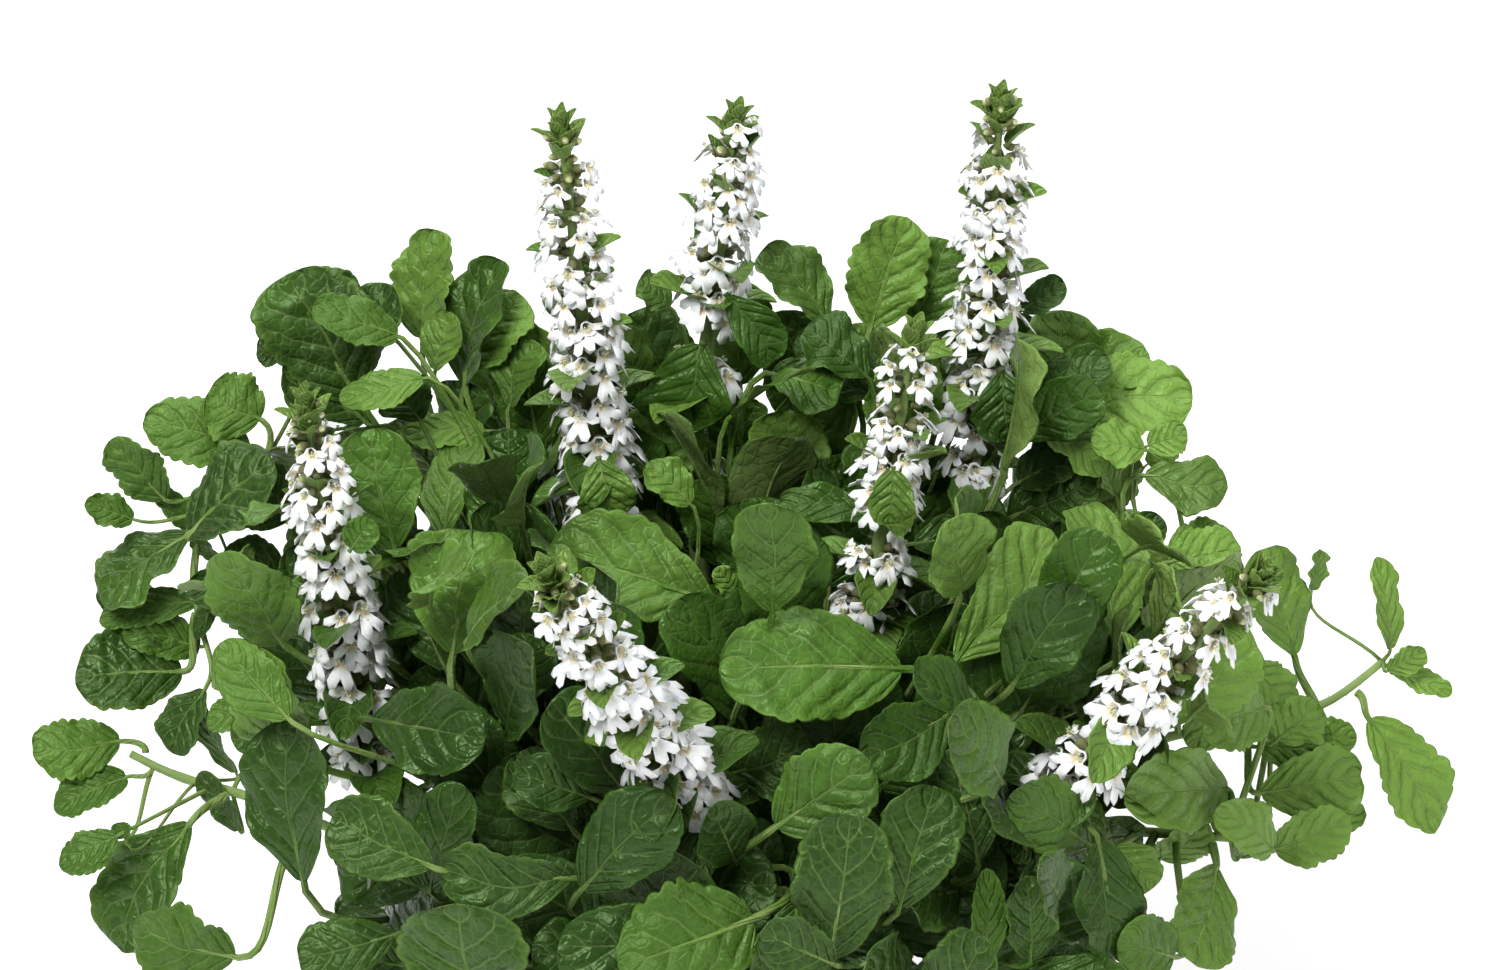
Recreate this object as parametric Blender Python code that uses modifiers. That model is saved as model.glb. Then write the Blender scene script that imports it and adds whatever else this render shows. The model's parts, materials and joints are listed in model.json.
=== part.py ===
"""Potted bugleweed: a white-flowered mound of leaves and flower spikes in a plain clay pot.

The pot stands on the origin, Z is up and -Y is the front. Lengths at the top of the script are
in millimetres; the meshes are built in metres. Every leaf, stem and runner is one closed solid,
and each leaf looks for a free place for its stalk among the pieces that already stand.
"""
import math

import bpy
from mathutils import Quaternion, Vector
from mathutils.bvhtree import BVHTree

MM = 0.001
OBJECT_NAME = "potted_bugleweed"

# Pot and soil
POT_HEIGHT = 112.0
RIM_RADIUS = 58.0
RIM_HEIGHT = 24.0
RIM_STEP = 3.5
RIM_ROUND = 1.5
BASE_RADIUS = 40.0
WALL = 4.6
FLOOR = 7.0
HOLE_RADIUS = 4.0
HOLE_RING_RADIUS = 20.0
HOLE_COUNT = 4
SOIL_DEPTH_BELOW_RIM = 12.0
SOIL_DOME = 4.0
CLEARANCE = 0.3
TURN_STEPS = 48

# Leaves: solid sizes that all of them share
BLADE_THICKNESS = 1.3
STALK_RADIUS = 1.25
BLADE_STATIONS = ((0.07, 0.28), (0.2, 0.52), (0.36, 0.8), (0.54, 0.98), (0.7, 0.97), (0.84, 0.78), (0.94, 0.48))
STALK_STEPS = 5
LEAF_BOW = 0.13

# Flower spikes
STEM_ROOT_RADIUS = 2.7
STEM_TOP_RADIUS = 2.2
STEM_STEPS = 9
HEAD_SIDES = 8
HEAD_TUFT = 7.0
RUNNER_RADIUS = 1.5

# Heights of the plant are measured from the pot's rim, and roots are shares of the mouth's radius.
# Each spike: root on the soil (x, y), foot and top of its flower head, radius, whorl places along it.
EVEN_11 = (0.0, 0.1, 0.2, 0.3, 0.39, 0.48, 0.57, 0.66, 0.75, 0.83, 0.9)
SPIKES = (
    ((-0.70, -0.21), (-96, -25, 51), (-109, -30, 163), 13.0, EVEN_11),
    ((-0.27, 0.25), (-32, 30, 91), (-43, 35, 214), 13.0, EVEN_11),
    ((0.02, 0.58), (-5, 54, 124), (5, 57, 206), 12.5, (0.0, 0.29, 0.42, 0.55, 0.67, 0.78, 0.88)),
    ((0.54, 0.41), (71.5, 45, 99), (76, 50, 214), 12.5, (0.02, 0.13, 0.23, 0.33, 0.42, 0.51, 0.6, 0.69, 0.78, 0.86, 0.93)),
    ((-0.31, -0.66), (-8, -75, 66), (-44, -120, 160), 13.0, EVEN_11),
    ((0.39, -0.12), (40, -12, 87), (53, 0, 169), 11.5, (0.0, 0.17, 0.36, 0.5, 0.62, 0.74, 0.85)),
    ((0.72, -0.41), (91, -60, 60), (141, -85, 141), 13.0, (0.0, 0.11, 0.33, 0.45, 0.57, 0.68, 0.79, 0.89)),
)

# Each runner: its route over the rim, from the soil (x, y) through points in space.
RUNNERS = (
    ((-0.76, -0.56), ((-62, -38, 15), (-96, -36, 27), (-128, -18, 30), (-150, -2, 27), (-164, 4, 31))),
    ((-0.89, 0.12), ((-66, 12, 16), (-100, 20, 46), (-128, 26, 64), (-146, 26, 66))),
    ((-0.74, 0.50), ((-60, 36, 20), (-92, 44, 64), (-122, 44, 84), (-142, 40, 88))),
    ((0.91, -0.08), ((67, -4, 14), (100, 2, 30), (136, 8, 37), (166, 12, 41), (184, 17, 53))),
    ((0.87, -0.33), ((64, -22, 14), (94, -32, 28), (118, -41, 33), (138, -42, 32))),
)

# Each leaf: name, foot and tip of its blade, blade width, roll in degrees, fold, what it grows from
# ("soil", or the number of a runner) and its colour.
LEAVES = (
    ("leaf_back_left_oval", (-101, 52, 117), (-120, 60, 152), 32, 0, 0.10, "soil", "leaf_mid"),
    ("leaf_back_left_pale", (-84, 72, 126), (-79, 80, 156), 19, 10, 0.15, "soil", "leaf_pale"),
    ("leaf_back_broad", (-72, 60, 118), (-60, 68, 152), 24, -8, 0.10, "soil", "leaf_mid"),
    ("leaf_back_round", (-10, 58, 112), (-22, 66, 138), 23, 0, 0.05, "soil", "leaf_dark"),
    ("leaf_back_centre_left", (30, 64, 135), (11, 70, 154), 20, 0, 0.12, "soil", "leaf_mid"),
    ("leaf_back_centre_right", (42, 64, 134), (52, 76, 162), 22, 0, 0.15, "soil", "leaf_pale"),
    ("leaf_left_upper", (-131, 44, 105), (-160, 44, 115), 19, 0, 0.10, 3, "leaf_pale"),
    ("leaf_left_upper_broad", (-146, 34, 87), (-122, 36, 109), 26, 0, 0.08, 3, "leaf_mid"),
    ("leaf_left_upper_end", (-155, 40, 92), (-169, 42, 110), 15, 0, 0.10, 3, "leaf_pale"),
    ("leaf_left_hanging", (-148, 33, 85), (-172, 22, 69), 22, 0, 0.08, 2, "leaf_mid"),
    ("leaf_left_blue", (-124, 20, 72), (-147, 12, 78), 14, 0, 0.10, 2, "leaf_dark"),
    ("leaf_left_end_broad", (-150, 17, 50), (-179, 10, 52), 24, 0, 0.06, 2, "leaf_mid"),
    ("leaf_left_tip_upper", (-167, 6, 34), (-191, 2, 34), 17, 0, 0.08, 1, "leaf_pale"),
    ("leaf_left_tip_lower", (-165, 0, 26), (-185, -6, 19), 12, 0, 0.10, 1, "leaf_pale"),
    ("leaf_left_low", (-145, -28, 28), (-166, -37, -6), 24, 0, 0.08, 1, "leaf_mid"),
    ("leaf_left_lowest", (-132, -52, 0), (-159, -52, 10), 24, 0, 0.10, 1, "leaf_pale"),
    ("leaf_front_left_dark", (-111, -69, 35), (-114, -56, 77), 26, 0, 0.08, "soil", "leaf_dark"),
    ("leaf_front_left_pointing", (-92, -52, 75), (-61, -74, 82), 24, 0, 0.10, "soil", "leaf_dark"),
    ("leaf_centre_left_folded", (-71, -43, 90), (-63, -23, 116), 29, 0, 0.28, "soil", "leaf_mid"),
    ("leaf_centre_oval", (-2, -40, 104), (-46, -34, 115), 30, 0, 0.08, "soil", "leaf_mid"),
    ("leaf_centre_left_upright", (-76, 12, 96), (-70, 46, 108), 17, 0, 0.12, "soil", "leaf_mid"),
    ("leaf_left_inner", (-66, 50, 107), (-88, 48, 107), 12, 0, 0.10, "soil", "leaf_pale"),
    ("leaf_front_low_pale", (9, -100, 43), (-26, -114, 37), 31, 0, 0.10, "soil", "leaf_pale"),
    ("leaf_front_low_quilted", (-63, -98, 14), (-68, -102, 49), 35, 0, 0.06, "soil", "leaf_mid"),
    ("leaf_front_low_left", (-39, -93, 51), (-72, -97, 56), 19, 0, 0.10, "soil", "leaf_mid"),
    ("leaf_front_upright", (-35, -94, 49), (-11, -96, 78), 23, 0, 0.10, "soil", "leaf_dark"),
    ("leaf_front_quilted", (2, -66, 66), (24, -66, 76), 20, 0, 0.06, "soil", "leaf_mid"),
    ("leaf_front_middle", (15, -90, 65), (39, -90, 85), 24, 0, 0.08, "soil", "leaf_mid"),
    ("leaf_front_right_dark", (61, -64, 84), (37, -85, 82), 20, 0, 0.10, "soil", "leaf_dark"),
    ("leaf_front_large_oval", (48, -58, 94), (0, -72, 102), 31, 0, 0.08, "soil", "leaf_mid"),
    ("leaf_centre_right", (61, -47, 89), (87, -12, 109), 25, 0, 0.10, "soil", "leaf_mid"),
    ("leaf_right_upright", (107, -17, 80), (100, 20, 101), 25, 0, 0.10, "soil", "leaf_mid"),
    ("leaf_back_right_pale", (98, 54, 113), (131, 52, 119), 24, 0, 0.08, "soil", "leaf_pale"),
    ("leaf_back_right_broad", (80, 38, 87), (104, 36, 100), 27, 0, 0.08, "soil", "leaf_dark"),
    ("leaf_front_right_pale", (98, -70, 47), (76, -84, 71), 19, 0, 0.08, 5, "leaf_pale"),
    ("leaf_right_pointing", (138, -30, 40), (107, -66, 60), 22, 0, 0.10, 5, "leaf_mid"),
    ("leaf_right_low", (134, -50, 28), (125, -78, 16), 24, 0, 0.08, 5, "leaf_mid"),
    ("leaf_right_outer", (149, -12, 28), (177, -6, 30), 20, 0, 0.10, 4, "leaf_mid"),
    ("leaf_right_end", (180, 6, 41), (199, -6, 12), 21, 0, 0.10, 4, "leaf_pale"),
)

# Every colour: base colour (linear RGB), roughness
MATERIALS = {
    "terracotta": ((0.42, 0.17, 0.075), 0.85),
    "potting_mix": ((0.035, 0.022, 0.014), 0.95),
    "leaf_dark": ((0.032, 0.075, 0.012), 0.45),
    "leaf_mid": ((0.075, 0.16, 0.03), 0.45),
    "leaf_pale": ((0.17, 0.29, 0.085), 0.5),
    "stem_green": ((0.14, 0.21, 0.06), 0.55),
    "flower_white": ((0.84, 0.88, 0.88), 0.55),
}

FRONT_AND_UP = Vector((0.0, -0.88, 0.47))
MOUND_CENTRE = (0.0, 0.0, 13.0)


def clear_scene():
    """Remove whatever the file opened with."""
    for ob in list(bpy.data.objects):
        bpy.data.objects.remove(ob, do_unlink=True)


def make_materials():
    """One plain Principled material for each colour."""
    made = {}
    for name, (colour, roughness) in MATERIALS.items():
        material = bpy.data.materials.new(name)
        material.use_nodes = True
        shader = material.node_tree.nodes["Principled BSDF"]
        shader.inputs["Base Color"].default_value = (*colour, 1.0)
        shader.inputs["Roughness"].default_value = roughness
        made[name] = material
    return made


def collection(name):
    """A new collection under the scene."""
    made = bpy.data.collections.new(name)
    bpy.context.scene.collection.children.link(made)
    return made


class Assembly:
    """The pieces that already stand, and the trees that tell whether a new one would touch them."""

    def __init__(self):
        self.materials = make_materials()
        self.pieces = collection(OBJECT_NAME)
        self.cutters = collection("cutters")
        self.standing = []

    def add(self, name, data, material):
        """Link an object for this mesh or curve, with its material."""
        ob = bpy.data.objects.new(name, data)
        data.materials.append(self.materials[material])
        self.pieces.objects.link(ob)
        return ob

    def stand(self, ob):
        """Remember the finished shape of an object, in millimetres."""
        bpy.context.view_layer.update()
        shape = ob.evaluated_get(bpy.context.evaluated_depsgraph_get())
        mesh = shape.to_mesh()
        points = [v.co / MM for v in mesh.vertices]
        faces = [tuple(p.vertices) for p in mesh.polygons]
        shape.to_mesh_clear()
        self.standing.append((box_of(points), BVHTree.FromPolygons(points, faces)))

    def touches(self, points, faces):
        """Whether a shape crosses any standing piece."""
        low, high = box_of(points)
        tree = None
        for (other_low, other_high), other in self.standing:
            if any(low[i] > other_high[i] or high[i] < other_low[i] for i in range(3)):
                continue
            tree = tree or BVHTree.FromPolygons(points, faces)
            if tree.overlap(other):
                return True
        return False


def box_of(points):
    """Lowest and highest corner of a set of points."""
    low = [min(p[i] for p in points) for i in range(3)]
    high = [max(p[i] for p in points) for i in range(3)]
    return low, high


def body_radius(z):
    """Outer radius of the pot's tapering body at a height."""
    top = POT_HEIGHT - RIM_HEIGHT
    return BASE_RADIUS + (RIM_RADIUS - RIM_STEP - 1.5 - BASE_RADIUS) * min(z / top, 1.0)


def inner_radius(z):
    """Radius of the pot's hollow at a height."""
    return body_radius(z) - WALL


def above_rim(point):
    """A point of the plant, whose height is given from the rim, in the part's frame."""
    return Vector(point) + Vector((0.0, 0.0, POT_HEIGHT))


def on_soil(root, gap):
    """A root's place, given in shares of the mouth's radius, this far above the soil."""
    x, y = (share * inner_radius(POT_HEIGHT) for share in root)
    return Vector((x, y, soil_height(x, y) + gap))


def soil_height(x, y):
    """Height of the soil's low dome at a place."""
    edge = inner_radius(POT_HEIGHT)
    return POT_HEIGHT - SOIL_DEPTH_BELOW_RIM + SOIL_DOME * (1.0 - (x * x + y * y) / edge ** 2)


def turned(assembly, name, profile, material):
    """A profile of (radius, height) points, turned about Z with a Screw modifier."""
    mesh = bpy.data.meshes.new(name)
    points = [(r * MM, 0.0, z * MM) for r, z in profile]
    mesh.from_pydata(points, [(i, i + 1) for i in range(len(points) - 1)], [])
    ob = assembly.add(name, mesh, material)
    screw = ob.modifiers.new("turn", "SCREW")
    screw.steps = TURN_STEPS
    screw.render_steps = TURN_STEPS
    screw.use_merge_vertices = True
    screw.merge_threshold = 0.00001
    screw.use_smooth_shade = True
    return ob


def build_pot(assembly):
    """A plain clay pot: tapering body, banded rim and drain holes in a ring."""
    band = POT_HEIGHT - RIM_HEIGHT
    rim_foot = RIM_RADIUS - 1.5
    mouth = inner_radius(POT_HEIGHT)
    profile = (
        (0.0, FLOOR),
        (inner_radius(FLOOR) - 3.0, FLOOR),
        (inner_radius(FLOOR), FLOOR + 3.0),
        (mouth, band),
        (mouth, POT_HEIGHT - RIM_ROUND),
        (mouth + RIM_ROUND, POT_HEIGHT),
        (RIM_RADIUS - RIM_ROUND, POT_HEIGHT),
        (RIM_RADIUS, POT_HEIGHT - RIM_ROUND),
        (rim_foot, band + RIM_ROUND),
        (rim_foot - RIM_ROUND, band),
        (body_radius(band), band - 0.5),
        (body_radius(2.0), 2.0),
        (BASE_RADIUS - 1.5, 0.0),
        (0.0, 0.0),
    )
    pot = turned(assembly, "pot", profile, "terracotta")
    for i in range(HOLE_COUNT):
        angle = math.tau * (i + 0.5) / HOLE_COUNT
        place = Vector((math.cos(angle), math.sin(angle), 0.0)) * HOLE_RING_RADIUS * MM
        bpy.ops.mesh.primitive_cylinder_add(vertices=16, radius=HOLE_RADIUS * MM, depth=4 * FLOOR * MM, location=place)
        cutter = bpy.context.active_object
        cutter.name = f"drain_cutter_{i + 1}"
        for owner in list(cutter.users_collection):
            owner.objects.unlink(cutter)
        assembly.cutters.objects.link(cutter)
        cutter.hide_render = True
        cutter.display_type = "WIRE"
        cut = pot.modifiers.new(f"drain_{i + 1}", "BOOLEAN")
        cut.operation = "DIFFERENCE"
        cut.solver = "EXACT"
        cut.object = cutter
    assembly.stand(pot)


def build_soil(assembly):
    """Potting mix that fills the pot to a low dome, a clearance away from its wall."""
    mouth = inner_radius(POT_HEIGHT)
    floor = FLOOR + CLEARANCE
    band = POT_HEIGHT - RIM_HEIGHT
    crown = [(r, soil_height(r, 0.0)) for r in (0.0, 0.35 * mouth, 0.7 * mouth, mouth - CLEARANCE)]
    profile = crown + [
        (mouth - CLEARANCE, band + CLEARANCE),
        (inner_radius(FLOOR) - CLEARANCE, floor + 3.2),
        (inner_radius(FLOOR) - 3.2, floor),
        (0.0, floor),
    ]
    assembly.stand(turned(assembly, "potting_mix", profile, "potting_mix"))


def tube(assembly, name, centres, radii, sides, material):
    """A curve object through the centres, its bevel scaled to each radius, with filled caps."""
    curve = bpy.data.curves.new(name, "CURVE")
    curve.dimensions = "3D"
    curve.bevel_depth = MM
    curve.bevel_resolution = (sides - 4) // 2
    curve.use_fill_caps = True
    curve.resolution_u = 1
    spline = curve.splines.new("POLY")
    spline.points.add(len(centres) - 1)
    for point, centre, radius in zip(spline.points, centres, radii):
        point.co = (*(Vector(centre) * MM), 1.0)
        point.radius = radius
    ob = assembly.add(name, curve, material)
    assembly.stand(ob)
    return ob


def cubic(a, b, c, d, t):
    """Point on a cubic Bezier curve."""
    s = 1.0 - t
    return a * s ** 3 + b * 3 * s * s * t + c * 3 * s * t * t + d * t ** 3


def smooth_route(points, steps):
    """Catmull-Rom curve through the points, with this many steps between each two."""
    ends = [points[0] * 2 - points[1], *points, points[-1] * 2 - points[-2]]
    route = []
    for i in range(1, len(ends) - 2):
        a, b, c, d = ends[i - 1:i + 3]
        for k in range(steps):
            route.append(cubic(b, b + (c - a) / 6, c - (d - b) / 6, c, k / steps))
    return route + [points[-1]]


def head_rings(length, radius, whorls):
    """Distances and radii along a flower head: out at each whorl, in between them, a tuft on top."""
    step = length * 0.1
    rings = []
    for k, place in enumerate(whorls):
        here = place * length
        full = radius * (1.0 - 0.35 * place ** 2)
        after = whorls[k + 1] * length if k + 1 < len(whorls) else length - HEAD_TUFT
        bare = after - here > 1.45 * step
        waist = STEM_TOP_RADIUS if bare else 0.74 * full
        rings.append((here + 0.3, full))
        rings.append((here + 0.35 * step if bare else (here + after) / 2, 0.6 * full if bare else waist))
        if bare:
            rings.append((here + 0.5 * step, waist))
            rings.append((after - 0.4 * step, waist))
    rings.append((length - HEAD_TUFT, 0.5 * radius))
    rings.append((length, 1.5))
    return rings


def build_spikes(assembly):
    """Square stems from the soil, each with a flower head standing just above its end."""
    for number, (root, foot, top, radius, whorls) in enumerate(SPIKES, 1):
        foot = above_rim(foot)
        top = above_rim(top)
        axis = (top - foot).normalized()
        below = 5.0
        start = on_soil(root, CLEARANCE)
        end = foot - axis * (below + CLEARANCE)
        bend = end - axis * 3.0
        reach = (bend - start).length
        up = start + Vector((0, 0, 0.4 * reach))
        back = bend - axis * 0.35 * reach
        route = [cubic(start, up, back, bend, k / STEM_STEPS) for k in range(STEM_STEPS + 1)] + [end]
        taper = [STEM_ROOT_RADIUS + (STEM_TOP_RADIUS - STEM_ROOT_RADIUS) * k / STEM_STEPS for k in range(STEM_STEPS + 1)]
        taper.append(STEM_TOP_RADIUS)
        tube(assembly, f"flower_stem_{number}", route, taper, 4, "stem_green")
        rings = [(-below, STEM_TOP_RADIUS)] + head_rings((top - foot).length, radius, whorls)
        places = [foot + axis * along for along, _ in rings]
        tube(assembly, f"flower_head_{number}", places, [r for _, r in rings], HEAD_SIDES, "flower_white")


def build_runners(assembly):
    """Creeping stems that leave the soil, cross the rim and carry leaves of their own."""
    routes = []
    for number, (root, points) in enumerate(RUNNERS, 1):
        start = on_soil(root, 2 * CLEARANCE)
        over_rim = start + Vector((0, 0, SOIL_DEPTH_BELOW_RIM + 3.0))
        route = smooth_route([start, over_rim] + [above_rim(p) for p in points], 4)
        thin = [RUNNER_RADIUS * (1.0 - 0.3 * k / len(route)) for k in range(len(route))]
        tube(assembly, f"runner_{number}", route, thin, 4, "stem_green")
        routes.append(route)
    return routes


def leaf_solid(foot, tip, width, hint, fold, root, away, extra):
    """Points and faces of one leaf: a stalk from the root to the blade, and the blade to its tip.

    Each ring has five corners: left edge, crest, right edge and two below. `extra` thickens it all.
    """
    along = (tip - foot).normalized()
    length = (tip - foot).length
    normal = (hint - along * hint.dot(along)).normalized()
    middle = (foot + tip) / 2 + normal * LEAF_BOW * length
    first = (middle - foot).normalized()
    gap = (foot - root).length
    rings = []
    for k in range(1, STALK_STEPS + 1):
        t = k / STALK_STEPS if k > 1 else 0.12
        t = min(t, 0.97)
        centre = cubic(root, root + away * 0.4 * gap, foot - first * 0.35 * gap, foot, t)
        rings.append((centre, STALK_RADIUS + extra, STALK_RADIUS + extra, 0.0))
    for station, share in BLADE_STATIONS:
        s = 1.0 - station
        centre = foot * s * s + middle * 2 * s * station + tip * station * station
        half = max(share * width / 2, STALK_RADIUS) + extra
        thick = BLADE_THICKNESS / 2 * (1.25 - 0.7 * station) + extra
        rings.append((centre, half, thick, fold * share * width / 2))
    centres = [root] + [r[0] for r in rings] + [tip]
    tangents = [(centres[i + 2] - centres[i]).normalized() for i in range(len(rings))]
    normals = [None] * len(rings)
    last = normal
    for i in reversed(range(len(rings))):
        last = (last - tangents[i] * last.dot(tangents[i])).normalized()
        normals[i] = last
    points = [root]
    for (centre, half, thick, lift), tangent, up in zip(rings, tangents, normals):
        side = tangent.cross(up)
        points.append(centre - side * half + up * lift)
        points.append(centre + up * thick)
        points.append(centre + side * half + up * lift)
        points.append(centre + side * 0.25 * half + up * (0.25 * lift - thick))
        points.append(centre - side * 0.25 * half + up * (0.25 * lift - thick))
    points.append(tip)
    last_ring = 1 + 5 * (len(rings) - 1)
    faces = [(0, 1 + (i + 1) % 5, 1 + i) for i in range(5)]
    for start in range(1, last_ring, 5):
        for i in range(5):
            j = (i + 1) % 5
            faces.append((start + i, start + j, start + 5 + j, start + 5 + i))
    faces += [(last_ring + i, last_ring + (i + 1) % 5, len(points) - 1) for i in range(5)]
    return points, faces


def soil_roots(foot):
    """Places on the soil where a leaf's stalk may start, the likeliest first."""
    heading = math.atan2(foot.y, foot.x)
    edge = inner_radius(POT_HEIGHT) - 2 * STALK_RADIUS - 3.0
    low = max(0.0, 98.0 - (foot.z - POT_HEIGHT))
    reach = min(0.16 * foot.xy.length + 0.1 * low + 12.0, edge)
    for spread in (1.0, 0.8, 1.15, 0.6):
        for turn in (0.0, 0.12, -0.12, 0.25, -0.25, 0.4, -0.4, 0.6, -0.6):
            radius = min(reach * spread, edge)
            x = radius * math.cos(heading + turn)
            y = radius * math.sin(heading + turn)
            out = Vector((x, y, 0)).normalized()
            yield Vector((x, y, soil_height(x, y) + CLEARANCE)), (Vector((0, 0, 1)) + out * 0.35).normalized()


def runner_roots(foot, route):
    """Places beside a runner where a leaf's stalk may start, the nearest first."""
    near = sorted(route[8:], key=lambda p: abs((p - foot).length - 9.0))[:6]
    for place in near:
        i = min(route.index(place), len(route) - 2)
        tangent = (route[i + 1] - route[i]).normalized()
        to_foot = foot - place
        side = (to_foot - tangent * to_foot.dot(tangent)).normalized()
        for turn in (0, 40, -40, 80, -80, 130):
            out = Quaternion(tangent, math.radians(turn)) @ side
            yield place + out * (RUNNER_RADIUS * 1.05 + 2 * CLEARANCE), (out + tangent * 0.4).normalized()


def settle(assembly, row, routes):
    """Find the first place for a leaf in which it clears every standing piece."""
    name, foot, tip, width, roll, fold, host, material = row
    foot = above_rim(foot)
    tip = above_rim(tip)
    middle = (foot + tip) / 2
    out = (middle - above_rim(MOUND_CENTRE)).normalized()
    along = (tip - foot).normalized()
    hint = Quaternion(along, math.radians(roll)) @ (out * 0.6 + FRONT_AND_UP * 0.7)
    roots = list(soil_roots(foot)) if host == "soil" else list(runner_roots(foot, routes[host - 1]))
    rise = (hint - along * hint.dot(along)).normalized()
    side = along.cross(rise)
    for shift, slide in ((0, 0), (2.5, 0), (-2.5, 0), (5, 0), (-5, 0), (3, 3), (3, -3), (8, 0), (-8, 0), (6, 6), (6, -6), (12, 0)):
        move = rise * shift + side * slide
        for root, away in roots:
            points, faces = leaf_solid(foot + move, tip + move, width, hint, fold, root, away, CLEARANCE + 0.1)
            if assembly.touches(points, faces):
                continue
            points, faces = leaf_solid(foot + move, tip + move, width, hint, fold, root, away, 0.0)
            return points, faces
    raise RuntimeError(f"{name} finds no free place")


def build_leaves(assembly, routes):
    """Every leaf in turn, each a stalk and blade in one closed solid."""
    for row in LEAVES:
        points, faces = settle(assembly, row, routes)
        mesh = bpy.data.meshes.new(row[0])
        mesh.from_pydata([p * MM for p in points], [], faces)
        mesh.shade_smooth()
        assembly.stand(assembly.add(row[0], mesh, row[7]))


def main():
    """Build the pot, then the plant from its stems outwards."""
    clear_scene()
    assembly = Assembly()
    build_pot(assembly)
    build_soil(assembly)
    build_spikes(assembly)
    routes = build_runners(assembly)
    build_leaves(assembly, routes)


main()
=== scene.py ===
"""Potted bugleweed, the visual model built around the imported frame.

Lengths in the plant's functions are millimetres; meshes are stored in metres. The frame gives
every leaf, stem, runner and flower head its place, and the surfaces here follow it.
"""

import json
import math
from dataclasses import dataclass

import bpy
import numpy as np
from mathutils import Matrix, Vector
from mathutils.bvhtree import BVHTree


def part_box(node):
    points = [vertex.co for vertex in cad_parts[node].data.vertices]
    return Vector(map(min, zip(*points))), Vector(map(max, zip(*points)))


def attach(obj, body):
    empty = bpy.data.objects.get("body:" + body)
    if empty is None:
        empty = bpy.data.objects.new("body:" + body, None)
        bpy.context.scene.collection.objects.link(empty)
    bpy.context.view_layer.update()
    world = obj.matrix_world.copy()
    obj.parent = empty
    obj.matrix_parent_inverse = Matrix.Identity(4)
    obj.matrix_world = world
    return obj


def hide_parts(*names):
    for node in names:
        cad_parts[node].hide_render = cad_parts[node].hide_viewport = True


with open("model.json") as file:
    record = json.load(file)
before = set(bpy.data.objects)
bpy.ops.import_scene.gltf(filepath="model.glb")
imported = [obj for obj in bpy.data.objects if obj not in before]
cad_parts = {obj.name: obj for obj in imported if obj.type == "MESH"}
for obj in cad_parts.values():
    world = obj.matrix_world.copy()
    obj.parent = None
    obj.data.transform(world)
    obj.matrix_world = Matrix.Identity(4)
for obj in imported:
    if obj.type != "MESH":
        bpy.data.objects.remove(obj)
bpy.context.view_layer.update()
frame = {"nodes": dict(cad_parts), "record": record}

bl_info = {
    "name": "Potted bugleweed",
    "version": (1, 0, 0),
    "blender": (4, 5, 0),
    "location": "3D View > Sidebar > Bugleweed",
    "description": "A white-flowered bugleweed in a clay pot: leaves, runners, flower spikes and stage",
    "category": "Object",
}

MM = 0.001
POT_HIGH = np.array(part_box("pot")[1]) / MM
SOIL_HIGH = np.array(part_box("potting_mix")[1]) / MM
RIM = float(POT_HIGH[2])
RIM_RADIUS = float(POT_HIGH[0])
MOUTH_RADIUS = float(SOIL_HIGH[0])
FRONT_AND_UP = np.array((0.0, -0.88, 0.47))
UP = np.array((0.0, 0.0, 1.0))
SLANTED = np.array((0.31, 0.83, 0.46))
MOUND_CENTRE = np.array((0.0, 0.0, RIM + 13.0))
HEADS = range(1, 8)

# Shares of a leaf solid's length at which its rings stand: the stalk's, then the blade's.
STALK_STATIONS = np.array((0.0, 0.12, 0.4, 0.6, 0.8, 0.97))
BLADE_STATIONS = np.array((0.07, 0.2, 0.36, 0.54, 0.7, 0.84, 0.94, 1.0))


# ---------------------------------------------------------------- small sums on arrays

def unit(v):
    """Vectors of length one."""
    return v / np.maximum(np.linalg.norm(v, axis=-1, keepdims=True), 1e-9)


def bezier(controls, t):
    """Points of a Bezier curve of any degree: each control weighed by its Bernstein polynomial."""
    degree = len(controls) - 1
    t = np.asarray(t, float)[..., None]
    return sum(math.comb(degree, k) * t ** k * (1 - t) ** (degree - k) * controls[k]
               for k in range(degree + 1))


def bezier_slope(controls, t):
    """Unit tangent of a Bezier curve: the curve of its control differences."""
    return unit(bezier(np.diff(np.asarray(controls, float), axis=0), t))


def ripple(points, size, seed):
    """Smooth noise between -1 and 1: cosines along seven random directions, added up."""
    rng = np.random.default_rng(seed)
    ways = unit(rng.normal(size=(7, 3))) * rng.uniform(0.6, 1.6, (7, 1)) * 2 * math.pi / size
    return np.cos(points @ ways.T + rng.uniform(0, 2 * math.pi, 7)).sum(-1) / 3.6


def bump(x, width):
    """A soft bell of height one at zero."""
    return np.exp(-((x / width) ** 2))


# ---------------------------------------------------------------- surfaces into meshes

@dataclass
class Surface:
    """Corners, faces by their corner count, a UV pair for each corner and named values for each."""

    points: np.ndarray
    quads: np.ndarray
    tris: np.ndarray
    uv: np.ndarray
    marks: dict


def signed_volume(points, quads, tris):
    """Six times the volume inside a closed surface, negative if its faces point inwards."""
    flat = np.concatenate([tris, quads[:, :3], quads[:, [0, 2, 3]]]) if len(quads) else tris
    a, b, c = (points[flat[:, i]] for i in range(3))
    return np.einsum("ij,ij->", a, np.cross(b, c))


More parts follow.
